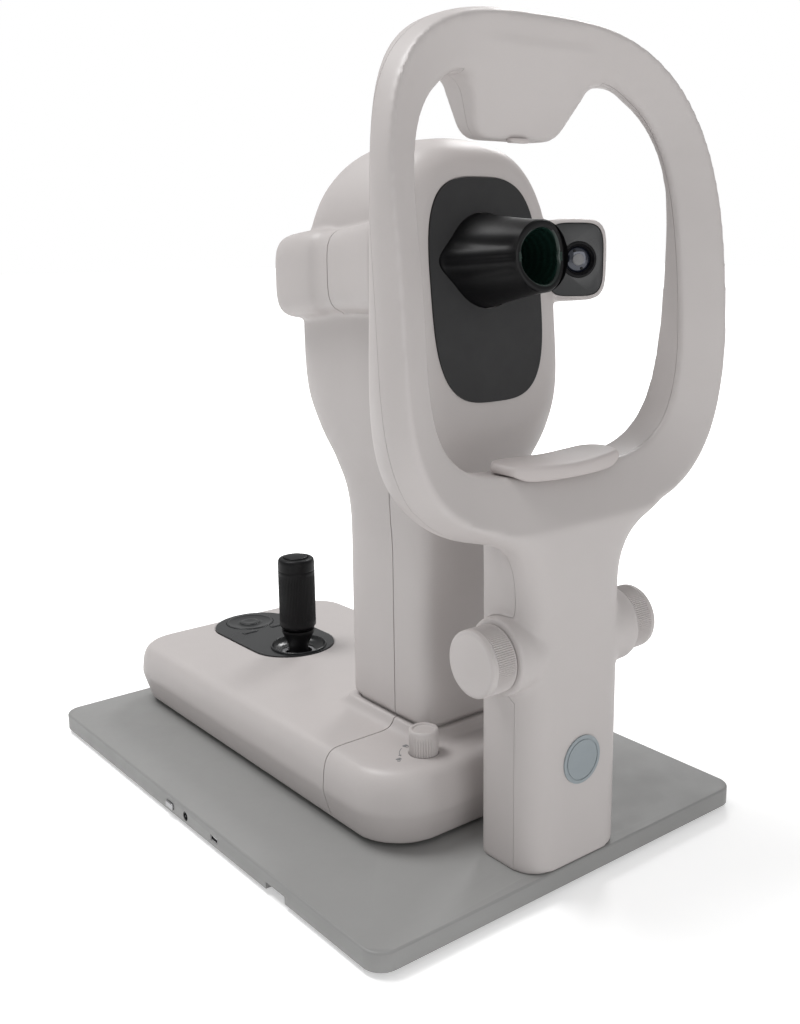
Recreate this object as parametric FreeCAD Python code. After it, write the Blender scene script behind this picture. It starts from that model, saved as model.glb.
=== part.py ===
import FreeCAD, Part
import os
from math import atan2, cos, degrees, pi, radians, sin

# Table-top corneal topographer: a measuring head on a cross-slide base, facing a chin rest
# and forehead frame. Millimetres. Origin: middle of the base plate, on the table top.
# +Z up. The patient sits at -Y and the operator at +Y.
V = FreeCAD.Vector
X, Y, Z = V(1, 0, 0), V(0, 1, 0), V(0, 0, 1)
WALL = 2.5                 # moulded shell wall
RUN = 0.05                 # radial clearance of a running fit
GAP = 0.4                  # clearance between pieces of different bodies

# Base plate
FOOT_H, FOOT_R, FOOT_X, FOOT_Y = 4.0, 10.0, 142.0, 205.0
COVER_SCREW_YS = (-175.0, 0.0, 175.0)
PLATE_W, PLATE_D, PLATE_T, PLATE_R = 330.0, 461.0, 13.0, 14.0
PLATE_TOP = FOOT_H + PLATE_T
PLATE_RIM, PLATE_SKIN, COVER_T = 7.0, 3.0, 1.5
PORT_Z, PORT_L = FOOT_H + 5.5, 12.0
BUTTON_Y, BUTTON_W, BUTTON_H = 28.7, 10.0, 4.6
JACK_Y, JACK_R = 5.2, 3.6
USB_Y, USB_W, USB_H = -37.5, 9.8, 4.4
NOTCH_Y0, NOTCH_Y1, NOTCH_H = -130.0, -107.0, 5.0

# Head-rest frame: column, ring and forehead rest
COL_HALF, COL_FRONT, COL_REAR, COL_SEAM = 43.0, -230.0, -178.0, -212.0
COL_R_FRONT, COL_R_REAR = 21.0, 6.0
BRACKET_HALF, BRACKET_SCREW_X, BRACKET_SCREW_YS = 28.0, 22.0, (-219.0, -203.0)
NECK = ((203.0, 43.0), (218.0, 46.0), (230.0, 53.0), (239.0, 64.0), (247.0, 80.0))
RING_Z = 398.0                       # height of the ring's centre
# Loops round the ring: half width, half height and exponent below its centre, the same above it
CREASE = (135.5, 151.0, 3.5, 146.0, 3.2)
BULGE, BULGE_DROP = (141.0, 159.0, 3.5, 159.0, 2.85), 3.8
BACK = (134.0, 150.0, 3.5, 150.0, 2.85)
INNER, INNER_REAR = (108.2, 120.0, 4.2, 120.0, 3.5), (109.2, 120.0, 4.2, 120.0, 3.5)
DISH, SEAM_BACK = 17.5, 20.6         # facet slope and seam, measured back from the crease
LEAN_Z, LEAN_R = 328.0, 650.0        # the ring is upright below this, curved back above it
RING_BACK, BACK_Z, BACK_LOW, BACK_HIGH = -191.5, 434.0, 0.0005, 0.003
REST_BOTTOM, REST_TOP, REST_REAR, PAD_T = 478.0, 524.0, -150.0, 9.0
REST_FRONT_LOW, REST_FRONT_HIGH = -165.0, -176.0
BADGE_Z, BADGE_R = 89.0, 16.3

# Chin rest and its rack drive
CHIN_HALF, CHIN_FRONT, CHIN_REAR = 52.0, -222.0, -187.0
CHIN_UNDER, CHIN_TOP, CHIN_LIP, CHIN_CURVE = 279.7, 285.0, 271.5, 640.0
LIP_REAR, CHIN_CORNER = -217.5, 14.0
KNOB_Y, KNOB_Z, KNOB_R, KNOB_X0, KNOB_X1 = -205.0, 164.5, 20.0, 53.4, 73.0
BOSS_R, BOSS_X0, SHAFT_R, BUSH_WALL = 25.0, 34.0, 4.0, 2.0
TEETH, MODULE = 15, 1.0
GEAR_R, PITCH = TEETH * MODULE / 2, pi * MODULE
BAR_HALF, BAR_FRONT, BAR_REAR, BAR_Z0 = 5.0, KNOB_Y + GEAR_R + 1.25 * MODULE, -188.0, 75.0
GUIDE_ZS, GUIDE_T = (138.0, 222.0), 12.0

# Carriage base
BASE_Y0, BASE_Y1, BASE_R, BASE_R_REAR = -157.0, 227.0, 43.0, 32.0
BASE_Z0, CREASE_Z, DECK_Z, DECK_DROP = 20.0, 43.5, 73.5, 5.5
BASE_FORM = ((0.0, 0.0), (0.45, 1.0), (0.72, 3.5), (0.9, 8.0), (1.0, 16.0))
BASE_HALF = 103.0
DECK_TILT = -degrees(atan2(DECK_DROP, BASE_Y1 - BASE_Y0))
SEAM_Y = -82.0                       # seam of base, tower and head shells
COLLAR_TOP = 80.0

# Cross slides
RAIL_X, RAIL_W, RAIL_H, RAIL_Y0, RAIL_Y1 = 32.0, 10.0, 8.0, -75.0, 140.0
RAIL_SCREW_YS = (-60.0, 30.0, 125.0)
BLOCK_YS, BLOCK_W, BLOCK_L = (-20.0, 72.0), 20.0, 26.0
SADDLE_Z, SADDLE_T, SADDLE_HALF = 30.0, 4.0, 44.0
ROD_YS, ROD_Z, ROD_R, ROD_HALF = (0.0, 54.0), 43.0, 5.0, 88.0
BUSH_X, BUSH_R, BUSH_L = 18.0, 7.5, 24.0
CHASSIS_Z, CHASSIS_T, CHASSIS_HALF = 54.0, 3.0, 88.0
CHASSIS_TOP = CHASSIS_Z + CHASSIS_T

# Lift
LIFT_Y, GUIDE_X, GUIDE_R, GUIDE_TOP = -69.0, 23.0, 5.0, 240.0
SCREW_R, SCREW_TOP, NUT_R = 4.0, 205.0, 9.0
MOTOR_HALF, MOTOR_H = 17.5, 28.0
SLEEVE_HALF, SLEEVE_Y0, SLEEVE_Y1, SLEEVE_TOP = 36.0, -115.0, -23.0, 125.0
CROSS_Z0, CROSS_Z1, PLATFORM_Z, LIFT_HALF = 132.0, 150.0, 380.0, 34.5

# Measuring head: section height, half width, front, back
TOWER_Z0, TOWER_HALF, TOWER_Y0, TOWER_Y1 = 82.0, 40.0, -119.0, -19.0
HEAD_FORM = (
    (205.0, 40.0, -119.0, -19.0), (225.0, 41.5, -121.0, -18.0), (245.0, 46.0, -128.0, -15.5),
    (265.0, 55.0, -137.0, -11.0), (290.0, 67.0, -145.5, -7.0), (320.0, 76.0, -146.5, -5.0),
    (370.0, 77.5, -141.0, -5.0), (410.0, 75.0, -136.5, -9.0), (440.0, 68.0, -133.0, -17.0),
    (460.0, 56.0, -129.5, -28.0), (473.0, 41.0, -123.0, -42.0), (480.5, 23.0, -110.0, -58.0),
    (483.0, 8.0, -98.0, -72.0))
TOWER_N, HEAD_N = 6.0, 3.9
FACE_Y0, FACE_Z0, FACE_Y1, FACE_Z1 = -144.0, 313.0, -128.0, 458.0
FACE_TILT = -degrees(atan2(FACE_Y1 - FACE_Y0, FACE_Z1 - FACE_Z0))
PANEL_Z, PANEL_A, PANEL_B, PANEL_N, PANEL_T = 385.5, 46.7, 72.5, 3.3, 2.4
CONE_Z, CONE_Y0, CONE_Y1, CONE_TILT = 404.0, -130.0, -190.0, -4.4
CONE_R0, CONE_R1, CONE_EARS, MOUTH_R, THROAT_R = 31.0, 22.0, 8.6, 16.5, 8.0
POD_IN, POD_OUT, LENS_OUT = V(60, -125, 403.5), V(99.5, -149.8, 403.5), 2.5
POD_HALF_H, POD_N, WINDOW_RIM, WINDOW_T = 28.3, 4.2, 3.3, 2.0
POD_FORM = ((-82.0, 60.6, 30.0, 398.0, 27.0), (-50.0, 60.5, 30.0, 395.5, 27.5),
            (-22.0, 60.0, 29.5, 392.5, 27.5), (-16.5, 58.0, 27.0, 392.0, 25.0),
            (-14.5, 55.0, 22.0, 392.0, 20.0))

# Controls
STICK_Y, PIVOT_Z, STICK_TOP, BALL_R = 111.5, 62.0, 153.0, 9.5
STEM_R, SPINDLE_R, GRIP_R, GRIP_Z0, CAP_Z = 8.5, 5.0, 15.5, 86.5, 139.5
WELL_R, RING_IN, RING_OUT, PIN_R = 24.0, 11.5, 16.0, 1.5
DECK_HALF, DECK_Y0, DECK_Y1, DECK_T, DECK_SUNK = 36.0, 86.0, 220.0, 2.2, 1.5
NAV_Y, NAV_R, HUB_R = 195.0, 21.0, 9.0
KEY_X, KEY_Y, KEY_HALF_L, KEY_HALF_W, KEY_DEPTH = 14.0, 170.0, 7.5, 2.6, 4.5
LOCK_X, LOCK_Y, LOCK_R, LOCK_TOP, PLUNGER_R = -51.0, -129.4, 10.2, 91.0, 4.0
PLUNGER_GAP = 3.2


# ------------------------------------------------------------------ helpers
def save(name, solids):
    shape = solids if isinstance(solids, Part.Shape) else Part.makeCompound(solids)
    shape.exportStep("parts/%s.step" % name)


def box(x0, x1, y0, y1, z0, z1):
    return Part.makeBox(x1 - x0, y1 - y0, z1 - z0, V(x0, y0, z0))


def cyl(r, start, axis, length):
    return Part.makeCylinder(r, length, V(*start), axis)


def tube(r_out, r_in, start, axis, length):
    return cyl(r_out, start, axis, length).cut(cyl(r_in, start, axis, length))


def both_sides(shape):
    return [shape, shape.mirror(V(0, 0, 0), X)]


def turned(shape, angle, y, z):
    """Copy turned about the line parallel to X through (y, z)."""
    copy = shape.copy()
    copy.rotate(V(0, y, z), X, angle)
    return copy


def round_rect(half_w, y0, y1, z, front_r, rear_r):
    """Wire in a level plane, symmetric about X = 0, with rounded corners."""
    corners = [(half_w - front_r, y0 + front_r, front_r, -90), (half_w - rear_r, y1 - rear_r, rear_r, 0),
               (rear_r - half_w, y1 - rear_r, rear_r, 90), (front_r - half_w, y0 + front_r, front_r, 180)]
    arcs = [[V(cx + r * cos(radians(start + a)), cy + r * sin(radians(start + a)), z)
             for a in (0, 45, 90)] for cx, cy, r, start in corners]
    edges = []
    for here, after in zip(arcs, arcs[1:] + arcs[:1]):
        edges.append(Part.Arc(*here).toShape())
        edges.append(Part.LineSegment(here[2], after[0]).toShape())
    return Part.Wire(edges)


def slab(half_w, y0, y1, z0, z1, front_r, rear_r):
    return Part.Face(round_rect(half_w, y0, y1, z0, front_r, rear_r)).extrude(V(0, 0, z1 - z0))


def prism(points, along):
    return Part.Face(Part.makePolygon(points + points[:1])).extrude(along)


def loop(points):
    """Smooth closed curve through the points."""
    curve = Part.BSplineCurve()
    curve.interpolate(Points=points, PeriodicFlag=True)
    return Part.Wire(curve.toShape())


def super_points(a, b, n, count=56, low=None):
    """Superellipse points in equal polar steps; low gives the lower half its own height and exponent."""
    points = []
    for i in range(count):
        t = 2 * pi * i / count
        height, power = low if low and sin(t) < 0 else (b, n)
        r = (abs(cos(t) / a) ** power + abs(sin(t) / height) ** power) ** (-1 / power)
        points.append((r * cos(t), r * sin(t)))
    return points


def loft(wires, ruled=False):
    return Part.makeLoft(wires, True, ruled)


def banded(loops):
    """Ring-shaped solid whose walls are ruled bands from each loop to the next one round."""
    pairs = zip(loops, loops[1:] + loops[:1])
    bands = [Part.makeRuledSurface(a.Edges[0], b.Edges[0]) for a, b in pairs]
    solid = Part.makeSolid(Part.makeShell(bands))
    if solid.Volume < 0:
        solid.reverse()
    return solid


def fused(solids):
    return solids[0].multiFuse(solids[1:]).removeSplitter()


# --------------------------------------------------------------- base plate
def bracket_holes():
    return [(side * BRACKET_SCREW_X, y) for side in (-1, 1) for y in BRACKET_SCREW_YS]


def rail_holes():
    return [(side * RAIL_X, y) for side in (-1, 1) for y in RAIL_SCREW_YS]


def cover_holes():
    return [(side * FOOT_X, y) for side in (-1, 1) for y in COVER_SCREW_YS]


def pocket(inset, z0, z1):
    half_w, half_d, r = PLATE_W / 2 - inset, PLATE_D / 2 - inset, PLATE_R - inset
    return slab(half_w, -half_d, half_d, z0, z1, r, r)


def port_cut(y, half_w, half_h):
    side = -PLATE_W / 2
    return box(side - 1, side + PLATE_RIM + 1, y - half_w, y + half_w, PORT_Z - half_h, PORT_Z + half_h)


def base_plate():
    plate = pocket(0, FOOT_H, PLATE_TOP)
    plate = plate.makeFillet(1.5, [e for e in plate.Edges if e.BoundBox.ZMin > PLATE_TOP - 0.01])
    plate = plate.cut(pocket(PLATE_RIM, FOOT_H, PLATE_TOP - PLATE_SKIN))
    posts = [cyl(5, (x, y, FOOT_H + COVER_T), Z, PLATE_T - COVER_T - 1) for x, y in cover_holes()]
    plate = fused([plate] + posts)
    cuts = [cyl(1.5, (x, y, FOOT_H), Z, 7.5) for x, y in cover_holes()]
    cuts += [cyl(2, (x, y, FOOT_H), Z, PLATE_T) for x, y in bracket_holes() + rail_holes()]
    cuts.append(port_cut(BUTTON_Y, BUTTON_W / 2 + GAP, BUTTON_H / 2 + GAP))
    cuts.append(port_cut(USB_Y, USB_W / 2, USB_H / 2))
    cuts.append(cyl(JACK_R, (-PLATE_W / 2 - 1, JACK_Y, PORT_Z), X, PLATE_RIM + 2))
    side = -PLATE_W / 2
    cuts.append(box(side - 1, side + PLATE_RIM + 1, NOTCH_Y0, NOTCH_Y1, FOOT_H, FOOT_H + NOTCH_H))
    for cut in cuts:
        plate = plate.cut(cut)
    return plate


def bottom_cover():
    cover = pocket(PLATE_RIM, FOOT_H, FOOT_H + COVER_T)
    for x, y in cover_holes():
        cover = cover.cut(cyl(3, (x, y, FOOT_H), Z, COVER_T))
    return cover


def cover_screws():
    return [cyl(3, (x, y, FOOT_H), Z, COVER_T).fuse(cyl(1.5, (x, y, FOOT_H), Z, 7.0))
            for x, y in cover_holes()]


def rubber_feet():
    feet = []
    for x, y in ((-FOOT_X, -FOOT_Y), (FOOT_X, -FOOT_Y), (-FOOT_X, FOOT_Y), (FOOT_X, FOOT_Y)):
        foot = cyl(FOOT_R, (x, y, 0), Z, FOOT_H)
        feet.append(foot.makeChamfer(0.8, [e for e in foot.Edges if e.BoundBox.ZMax < 0.1]))
    return feet


def power_board():
    x0 = -PLATE_W / 2 + PORT_L + 1
    board = box(x0, x0 + 42, -48, 42, 7, 8.6).cut(cyl(6, (-FOOT_X, 0, 6), Z, 4))
    parts = [board, box(x0 + 24, x0 + 38, -10, 8, 8.6, 13), cyl(3.5, (x0 + 12, 16, 8.6), Z, 4.5),
             cyl(3.5, (x0 + 12, -18, 8.6), Z, 4.5), box(x0 + 20, x0 + 30, -38, -28, 8.6, 10.2)]
    return fused(parts)


def dc_jack():
    x0 = -PLATE_W / 2 + 0.4
    jack = cyl(JACK_R, (x0, JACK_Y, PORT_Z), X, PORT_L)
    return jack.cut(tube(JACK_R - 0.9, 0.8, (x0, JACK_Y, PORT_Z), X, 9))


def usb_port():
    x0 = -PLATE_W / 2 + 0.4
    port = box(x0, x0 + PORT_L, USB_Y - USB_W / 2, USB_Y + USB_W / 2, PORT_Z - USB_H / 2, PORT_Z + USB_H / 2)
    port = port.makeFillet(1.2, [e for e in port.Edges if e.BoundBox.XLength > 5])
    slot = box(x0, x0 + 9, USB_Y - USB_W / 2 + 0.8, USB_Y + USB_W / 2 - 0.8,
               PORT_Z - USB_H / 2 + 0.8, PORT_Z + USB_H / 2 - 0.8)
    tongue = box(x0 + 1, x0 + 9, USB_Y - 3, USB_Y + 3, PORT_Z - 0.4, PORT_Z + 0.4)
    return port.cut(slot.cut(tongue))


def power_button():
    x0 = -PLATE_W / 2 - 1.6
    cap = box(x0, x0 + 9, BUTTON_Y - BUTTON_W / 2, BUTTON_Y + BUTTON_W / 2,
              PORT_Z - BUTTON_H / 2, PORT_Z + BUTTON_H / 2)
    return cap.makeFillet(0.8, [e for e in cap.Edges if e.BoundBox.XMin < x0 + 0.1])


# ------------------------------------------------------------ head-rest frame
def lean(z):
    """How far back the ring's front stands at this height."""
    chin_bow = 2 - 2 * min(1.0, max(0.0, (275 - z) / 28)) ** 2
    return COL_FRONT + chin_bow + max(0.0, z - LEAN_Z) ** 2 / (2 * LEAN_R)


def ring_back(z):
    rise = z - BACK_Z
    return min(RING_BACK + (BACK_HIGH if rise > 0 else BACK_LOW) * rise ** 2, COL_REAR if rise < 0 else 0)


def ring_loop(form, depth, inset=0.0, drop=0.0):
    half, low_b, low_n, top_b, top_n = form
    spots = super_points(half - inset, top_b - inset, top_n, low=(low_b - inset, low_n))
    points = [V(x, 0, RING_Z - drop + z) for x, z in spots]
    return loop([V(p.x, depth(p.z), p.z) for p in points])


def ring_form(inset):
    """The ring as one solid; a positive inset gives the hollow inside its shells."""
    i = inset
    return banded([
        ring_loop(CREASE, lambda z: lean(z) + 1.6 * i, 1.4 * i),
        ring_loop(BULGE, lambda z: 0.55 * lean(z) + 0.45 * ring_back(z), i, BULGE_DROP),
        ring_loop(BACK, lambda z: ring_back(z) - i, i),
        ring_loop(INNER_REAR, lambda z: ring_back(z) - i, -i, 1.0),
        ring_loop(INNER, lambda z: lean(z) + DISH + 0.6 * i, -i)])


def column_form(inset, z0):
    def section(z, half_w):
        return round_rect(half_w - inset, COL_FRONT + inset, COL_REAR - inset, z,
                          COL_R_FRONT - inset, COL_R_REAR - inset)
    shaft = Part.Face(section(z0, COL_HALF)).extrude(V(0, 0, NECK[0][0] - z0))
    top = Part.Face(section(NECK[-1][0], NECK[-1][1])).extrude(V(0, 0, 14))
    column = fused([shaft, loft([section(z, w) for z, w in NECK]), top])
    crease = ring_loop(CREASE, lambda z: -300, inset)
    return column.cut(Part.Face(crease).extrude(V(0, 200, 0)))


def frame_solid(inset, z0):
    return column_form(inset, z0).fuse(ring_form(inset))


def seam_region():
    """Everything in front of the seam between the frame's front shell and its rear cover."""
    heights = [RING_Z + step for step in range(-120, 181, 30)]
    path = [V(-200, lean(z) + SEAM_BACK, z) for z in heights]
    curve = Part.BSplineCurve()
    curve.interpolate(path)
    low = [V(-200, COL_SEAM, 0), V(-200, COL_SEAM, 235), path[0]]
    front = [path[-1], V(-200, -300, path[-1].z), V(-200, -300, 0), low[0]]
    edges = [Part.LineSegment(a, b).toShape() for a, b in zip(low, low[1:])]
    edges.append(curve.toShape())
    edges += [Part.LineSegment(a, b).toShape() for a, b in zip(front, front[1:])]
    return Part.Face(Part.Wire(edges)).extrude(V(400, 0, 0))


def bar_slot(z0, z1):
    return box(-BAR_HALF - 1, BAR_HALF + 1, BAR_FRONT - 4, BAR_REAR + 1, z0, z1)


def knob_boss():
    boss = cyl(BOSS_R, (BOSS_X0, KNOB_Y, KNOB_Z), X, KNOB_X0 - GAP - BOSS_X0)
    return boss.makeFillet(2, [e for e in boss.Edges if e.BoundBox.XMin > KNOB_X0 - 1])


def frame_shells():
    hollow = frame_solid(WALL, PLATE_TOP)
    region = seam_region()
    axle = cyl(SHAFT_R + BUSH_WALL, (-60, KNOB_Y, KNOB_Z), X, 120)
    front = frame_solid(0, PLATE_TOP).cut(hollow).common(region)
    for boss in both_sides(knob_boss()):
        front = front.fuse(boss)
    front = front.cut(axle).cut(bar_slot(240, 300))
    rear = frame_solid(0.6, PLATE_TOP).cut(hollow).cut(region)
    for boss in both_sides(knob_boss()):
        rear = rear.cut(boss)
    return front, rear.cut(bar_slot(240, 300))


def column_bracket():
    back = box(-BRACKET_HALF, BRACKET_HALF, -184, -181.5, PLATE_TOP, 236)
    foot = box(-BRACKET_HALF, BRACKET_HALF, -224, -184, PLATE_TOP, PLATE_TOP + 3)
    bracket = fused([back, foot])
    for x, y in bracket_holes():
        bracket = bracket.cut(cyl(2.2, (x, y, PLATE_TOP), Z, 3))
    return bracket


def bracket_screws():
    z0 = PLATE_TOP - PLATE_SKIN
    return [cyl(3.8, (x, y, PLATE_TOP + 3), Z, 2.5).fuse(cyl(1.9, (x, y, z0), Z, PLATE_SKIN + 3))
            for x, y in bracket_holes()]


def bar_guides():
    guides = []
    for z in GUIDE_ZS:
        block = box(-11, 11, -204, -184, z, z + GUIDE_T)
        hole = box(-BAR_HALF - RUN, BAR_HALF + RUN, BAR_FRONT - 2.4, BAR_REAR + RUN, z, z + GUIDE_T)
        guides.append(block.cut(hole))
    return guides


def shaft_bushes():
    length = KNOB_X0 - GAP - BOSS_X0
    return both_sides(tube(SHAFT_R + BUSH_WALL, SHAFT_R + RUN, (BOSS_X0, KNOB_Y, KNOB_Z), X, length))


def badge():
    disc = cyl(BADGE_R, (0, COL_FRONT, BADGE_Z), -Y, 1.0)
    return disc.cut(tube(BADGE_R - 2.2, BADGE_R - 3.0, (0, COL_FRONT - 0.6, BADGE_Z), -Y, 1.0))


def forehead_pieces():
    outline = [(-54, REST_TOP), (-44, 506), (-31, REST_BOTTOM), (31, REST_BOTTOM), (44, 506), (54, REST_TOP)]
    form = prism([V(x, -190, z) for x, z in outline], V(0, REST_REAR + 190, 0))
    form = form.makeFillet(10, [e for e in form.Edges
                               if e.BoundBox.YLength > 20 and e.BoundBox.ZMax < REST_BOTTOM + 1])

    def layer(back_low, back_high):
        return prism([V(-60, REST_FRONT_LOW, REST_BOTTOM), V(-60, REST_FRONT_HIGH, REST_TOP),
                      V(-60, back_high, REST_TOP), V(-60, back_low, REST_BOTTOM)], V(120, 0, 0))
    pad = form.common(layer(REST_FRONT_LOW + PAD_T, REST_FRONT_HIGH + PAD_T))
    rest = form.common(layer(REST_REAR, REST_REAR)).cut(pad)
    ring = ring_form(0)
    return rest.cut(ring), pad.cut(ring)


# ------------------------------------------------------------------ chin rest
def chin_rest():
    bow = [V(-CHIN_HALF, CHIN_FRONT + 12, 0), V(0, CHIN_FRONT, 0), V(CHIN_HALF, CHIN_FRONT + 12, 0)]
    r = CHIN_CORNER
    nip = r * (1 - cos(pi / 4))
    back = [V(CHIN_HALF - r, CHIN_REAR, 0), V(r - CHIN_HALF, CHIN_REAR, 0)]
    corner_r = [V(CHIN_HALF, CHIN_REAR - r, 0), V(CHIN_HALF - nip, CHIN_REAR - nip, 0), back[0]]
    corner_l = [back[1], V(nip - CHIN_HALF, CHIN_REAR - nip, 0), V(-CHIN_HALF, CHIN_REAR - r, 0)]
    edges = [Part.Arc(*bow).toShape(), Part.LineSegment(bow[2], corner_r[0]).toShape(),
             Part.Arc(*corner_r).toShape(), Part.LineSegment(*back).toShape(),
             Part.Arc(*corner_l).toShape(), Part.LineSegment(corner_l[2], bow[0]).toShape()]
    plan = Part.Face(Part.Wire(edges)).translated(V(0, 0, CHIN_LIP)).extrude(V(0, 0, 30))
    bowl = cyl(CHIN_CURVE, (0, CHIN_FRONT - 20, CHIN_TOP + CHIN_CURVE), Y, 80)
    step = box(-80, 80, LIP_REAR, CHIN_REAR + 20, CHIN_LIP - 1, CHIN_UNDER)
    under_r = CHIN_CURVE + CHIN_TOP - CHIN_LIP
    round_under = cyl(under_r, (0, CHIN_FRONT - 20, CHIN_LIP + under_r), Y, 80)
    rest = plan.cut(bowl).cut(step).common(round_under)
    rim = [e for e in rest.Edges if e.BoundBox.ZMin > CHIN_TOP - 1 and e.BoundBox.DiagonalLength > 12]
    return rest.makeFillet(2.0, rim)


def rack_tooth(z):
    root, tip = BAR_FRONT, BAR_FRONT - 2.25 * MODULE
    points = [V(-BAR_HALF, root, z - 1.15), V(-BAR_HALF, tip, z - 0.38),
              V(-BAR_HALF, tip, z + 0.38), V(-BAR_HALF, root, z + 1.15)]
    return prism(points, V(2 * BAR_HALF, 0, 0))


def chin_bar():
    bar = box(-BAR_HALF, BAR_HALF, BAR_FRONT, BAR_REAR, BAR_Z0, CHIN_UNDER)
    teeth = [rack_tooth(KNOB_Z + (i + 0.5) * PITCH) for i in range(-22, 2)]
    return fused([bar] + teeth)


def chin_pinion():
    """Spur pinion with one tooth pointing straight back into a gap of the rack."""
    root, mid, tip = GEAR_R - 1.25 * MODULE, GEAR_R, GEAR_R + MODULE
    points = []
    for i in range(TEETH):
        for r, half in ((root, -1.0), (mid, -0.62), (tip, -0.28), (tip, 0.28), (mid, 0.62), (root, 1.0)):
            a = 2 * pi * i / TEETH + half / r
            points.append(V(-BAR_HALF, KNOB_Y + r * cos(a), KNOB_Z + r * sin(a)))
    gear = prism(points, V(2 * BAR_HALF, 0, 0))
    return gear.cut(cyl(SHAFT_R, (-BAR_HALF, KNOB_Y, KNOB_Z), X, 2 * BAR_HALF))


def chin_shaft():
    return cyl(SHAFT_R, (3 - KNOB_X1, KNOB_Y, KNOB_Z), X, 2 * KNOB_X1 - 6)


def chin_knob():
    """Knob on the +X side, finely ribbed round its rim, with a domed face."""
    ribs, points = 60, []
    for i in range(2 * ribs):
        r, a = KNOB_R - (0.7 if i % 2 else 0), pi * i / ribs
        points.append(V(KNOB_X0, KNOB_Y + r * cos(a), KNOB_Z + r * sin(a)))
    rim = prism(points, V(KNOB_X1 - KNOB_X0 - 4, 0, 0))
    face = cyl(KNOB_R - 0.9, (KNOB_X0, KNOB_Y, KNOB_Z), X, KNOB_X1 - KNOB_X0)
    face = face.makeFillet(3.5, [e for e in face.Edges if e.BoundBox.XMin > KNOB_X1 - 0.1])
    return fused([rim, face]).cut(cyl(SHAFT_R, (0, KNOB_Y, KNOB_Z), X, KNOB_X1 - 3))


# --------------------------------------------------------------- cross slides
def y_rail():
    half = RAIL_W / 2
    rail = box(RAIL_X - half, RAIL_X + half, RAIL_Y0, RAIL_Y1, PLATE_TOP, PLATE_TOP + RAIL_H)
    for y in RAIL_SCREW_YS:
        rail = rail.cut(cyl(2, (RAIL_X, y, PLATE_TOP), Z, RAIL_H))
        rail = rail.cut(cyl(3.6, (RAIL_X, y, PLATE_TOP + RAIL_H - 4), Z, 4))
    return rail


def rail_screws():
    z0 = PLATE_TOP - PLATE_SKIN
    seat = PLATE_TOP + RAIL_H - 4
    return [cyl(1.9, (x, y, z0), Z, seat - z0).fuse(cyl(3.4, (x, y, seat), Z, 3)) for x, y in rail_holes()]


def saddle():
    plate = box(-SADDLE_HALF, SADDLE_HALF, BLOCK_YS[0] - BLOCK_L / 2 - 2, BLOCK_YS[1] + BLOCK_L / 2 + 2,
                SADDLE_Z, SADDLE_Z + SADDLE_T)
    parts = [plate]
    for y in ROD_YS:
        for x in (-BUSH_X, BUSH_X):
            parts.append(box(x - BUSH_L / 2, x + BUSH_L / 2, y - 9, y + 9, SADDLE_Z + SADDLE_T, ROD_Z + 8.5))
    body = fused(parts)
    for y in ROD_YS:
        body = body.cut(cyl(BUSH_R, (-40, y, ROD_Z), X, 80))
    return body


def rail_blocks():
    blocks = []
    for side in (-1, 1):
        for y in BLOCK_YS:
            x = side * RAIL_X
            block = box(x - BLOCK_W / 2, x + BLOCK_W / 2, y - BLOCK_L / 2, y + BLOCK_L / 2,
                        PLATE_TOP + 1.2, SADDLE_Z)
            slot = box(x - RAIL_W / 2 - RUN, x + RAIL_W / 2 + RUN, y - BLOCK_L, y + BLOCK_L,
                       PLATE_TOP, PLATE_TOP + RAIL_H + RUN)
            blocks.append(block.cut(slot))
    return blocks


def rod_bushes():
    return [tube(BUSH_R, ROD_R + RUN, (x - BUSH_L / 2, y, ROD_Z), X, BUSH_L)
            for x in (-BUSH_X, BUSH_X) for y in ROD_YS]


def cross_rods():
    return [cyl(ROD_R, (-ROD_HALF, y, ROD_Z), X, 2 * ROD_HALF) for y in ROD_YS]


def chassis():
    plate = slab(CHASSIS_HALF, -146, 212, CHASSIS_Z, CHASSIS_TOP, 34, 34)
    parts = [plate]
    for y in ROD_YS:
        for side in (-1, 1):
            outer, inner = side * ROD_HALF, side * (ROD_HALF - 6)
            parts.append(box(min(outer, inner), max(outer, inner), y - 9, y + 9, ROD_Z - 6.5, CHASSIS_Z))
    body = fused(parts)
    for y in ROD_YS:
        body = body.cut(cyl(ROD_R, (-ROD_HALF, y, ROD_Z), X, 2 * ROD_HALF))
    body = body.cut(cyl(RING_OUT + 1, (0, STICK_Y, CHASSIS_Z), Z, CHASSIS_T))
    return body.cut(cyl(PLUNGER_R + RUN, (LOCK_X, LOCK_Y, CHASSIS_Z), Z, CHASSIS_T))


# --------------------------------------------------------------- base housing
def tilt_deck(shape):
    """Turn a level shape into the slightly sloping plane of the base's top."""
    return turned(shape, DECK_TILT, BASE_Y0, DECK_Z)


def base_section(rise, inset, shrink):
    front_r, rear_r = BASE_R - shrink * 0.6 - inset, BASE_R_REAR - shrink * 0.6 - inset
    wire = round_rect(BASE_HALF - shrink - inset, BASE_Y0 + shrink + inset, BASE_Y1 - shrink - inset,
                      CREASE_Z + rise * (DECK_Z - CREASE_Z - inset), front_r, rear_r)
    return turned(wire, DECK_TILT * rise, BASE_Y0, wire.BoundBox.ZMin)


def base_form(inset):
    low = round_rect(BASE_HALF - 7 - inset, BASE_Y0 + 7 + inset, BASE_Y1 - 7 - inset, BASE_Z0,
                     BASE_R - 5 - inset, BASE_R_REAR - 5 - inset)
    skirt = loft([low, base_section(0, inset, 0)], True)
    upper = loft([base_section(rise, inset, shrink) for rise, shrink in BASE_FORM])
    return fused([skirt, upper])


def collar_form():
    steps = ((68.0, 12.0), (72.5, 6.5), (76.0, 2.8), (COLLAR_TOP, 1.0))
    return loft([round_rect(TOWER_HALF + out, TOWER_Y0 - out, TOWER_Y1 + out, z, 20 + out / 2, 12 + out / 2)
                 for z, out in steps])


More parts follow.
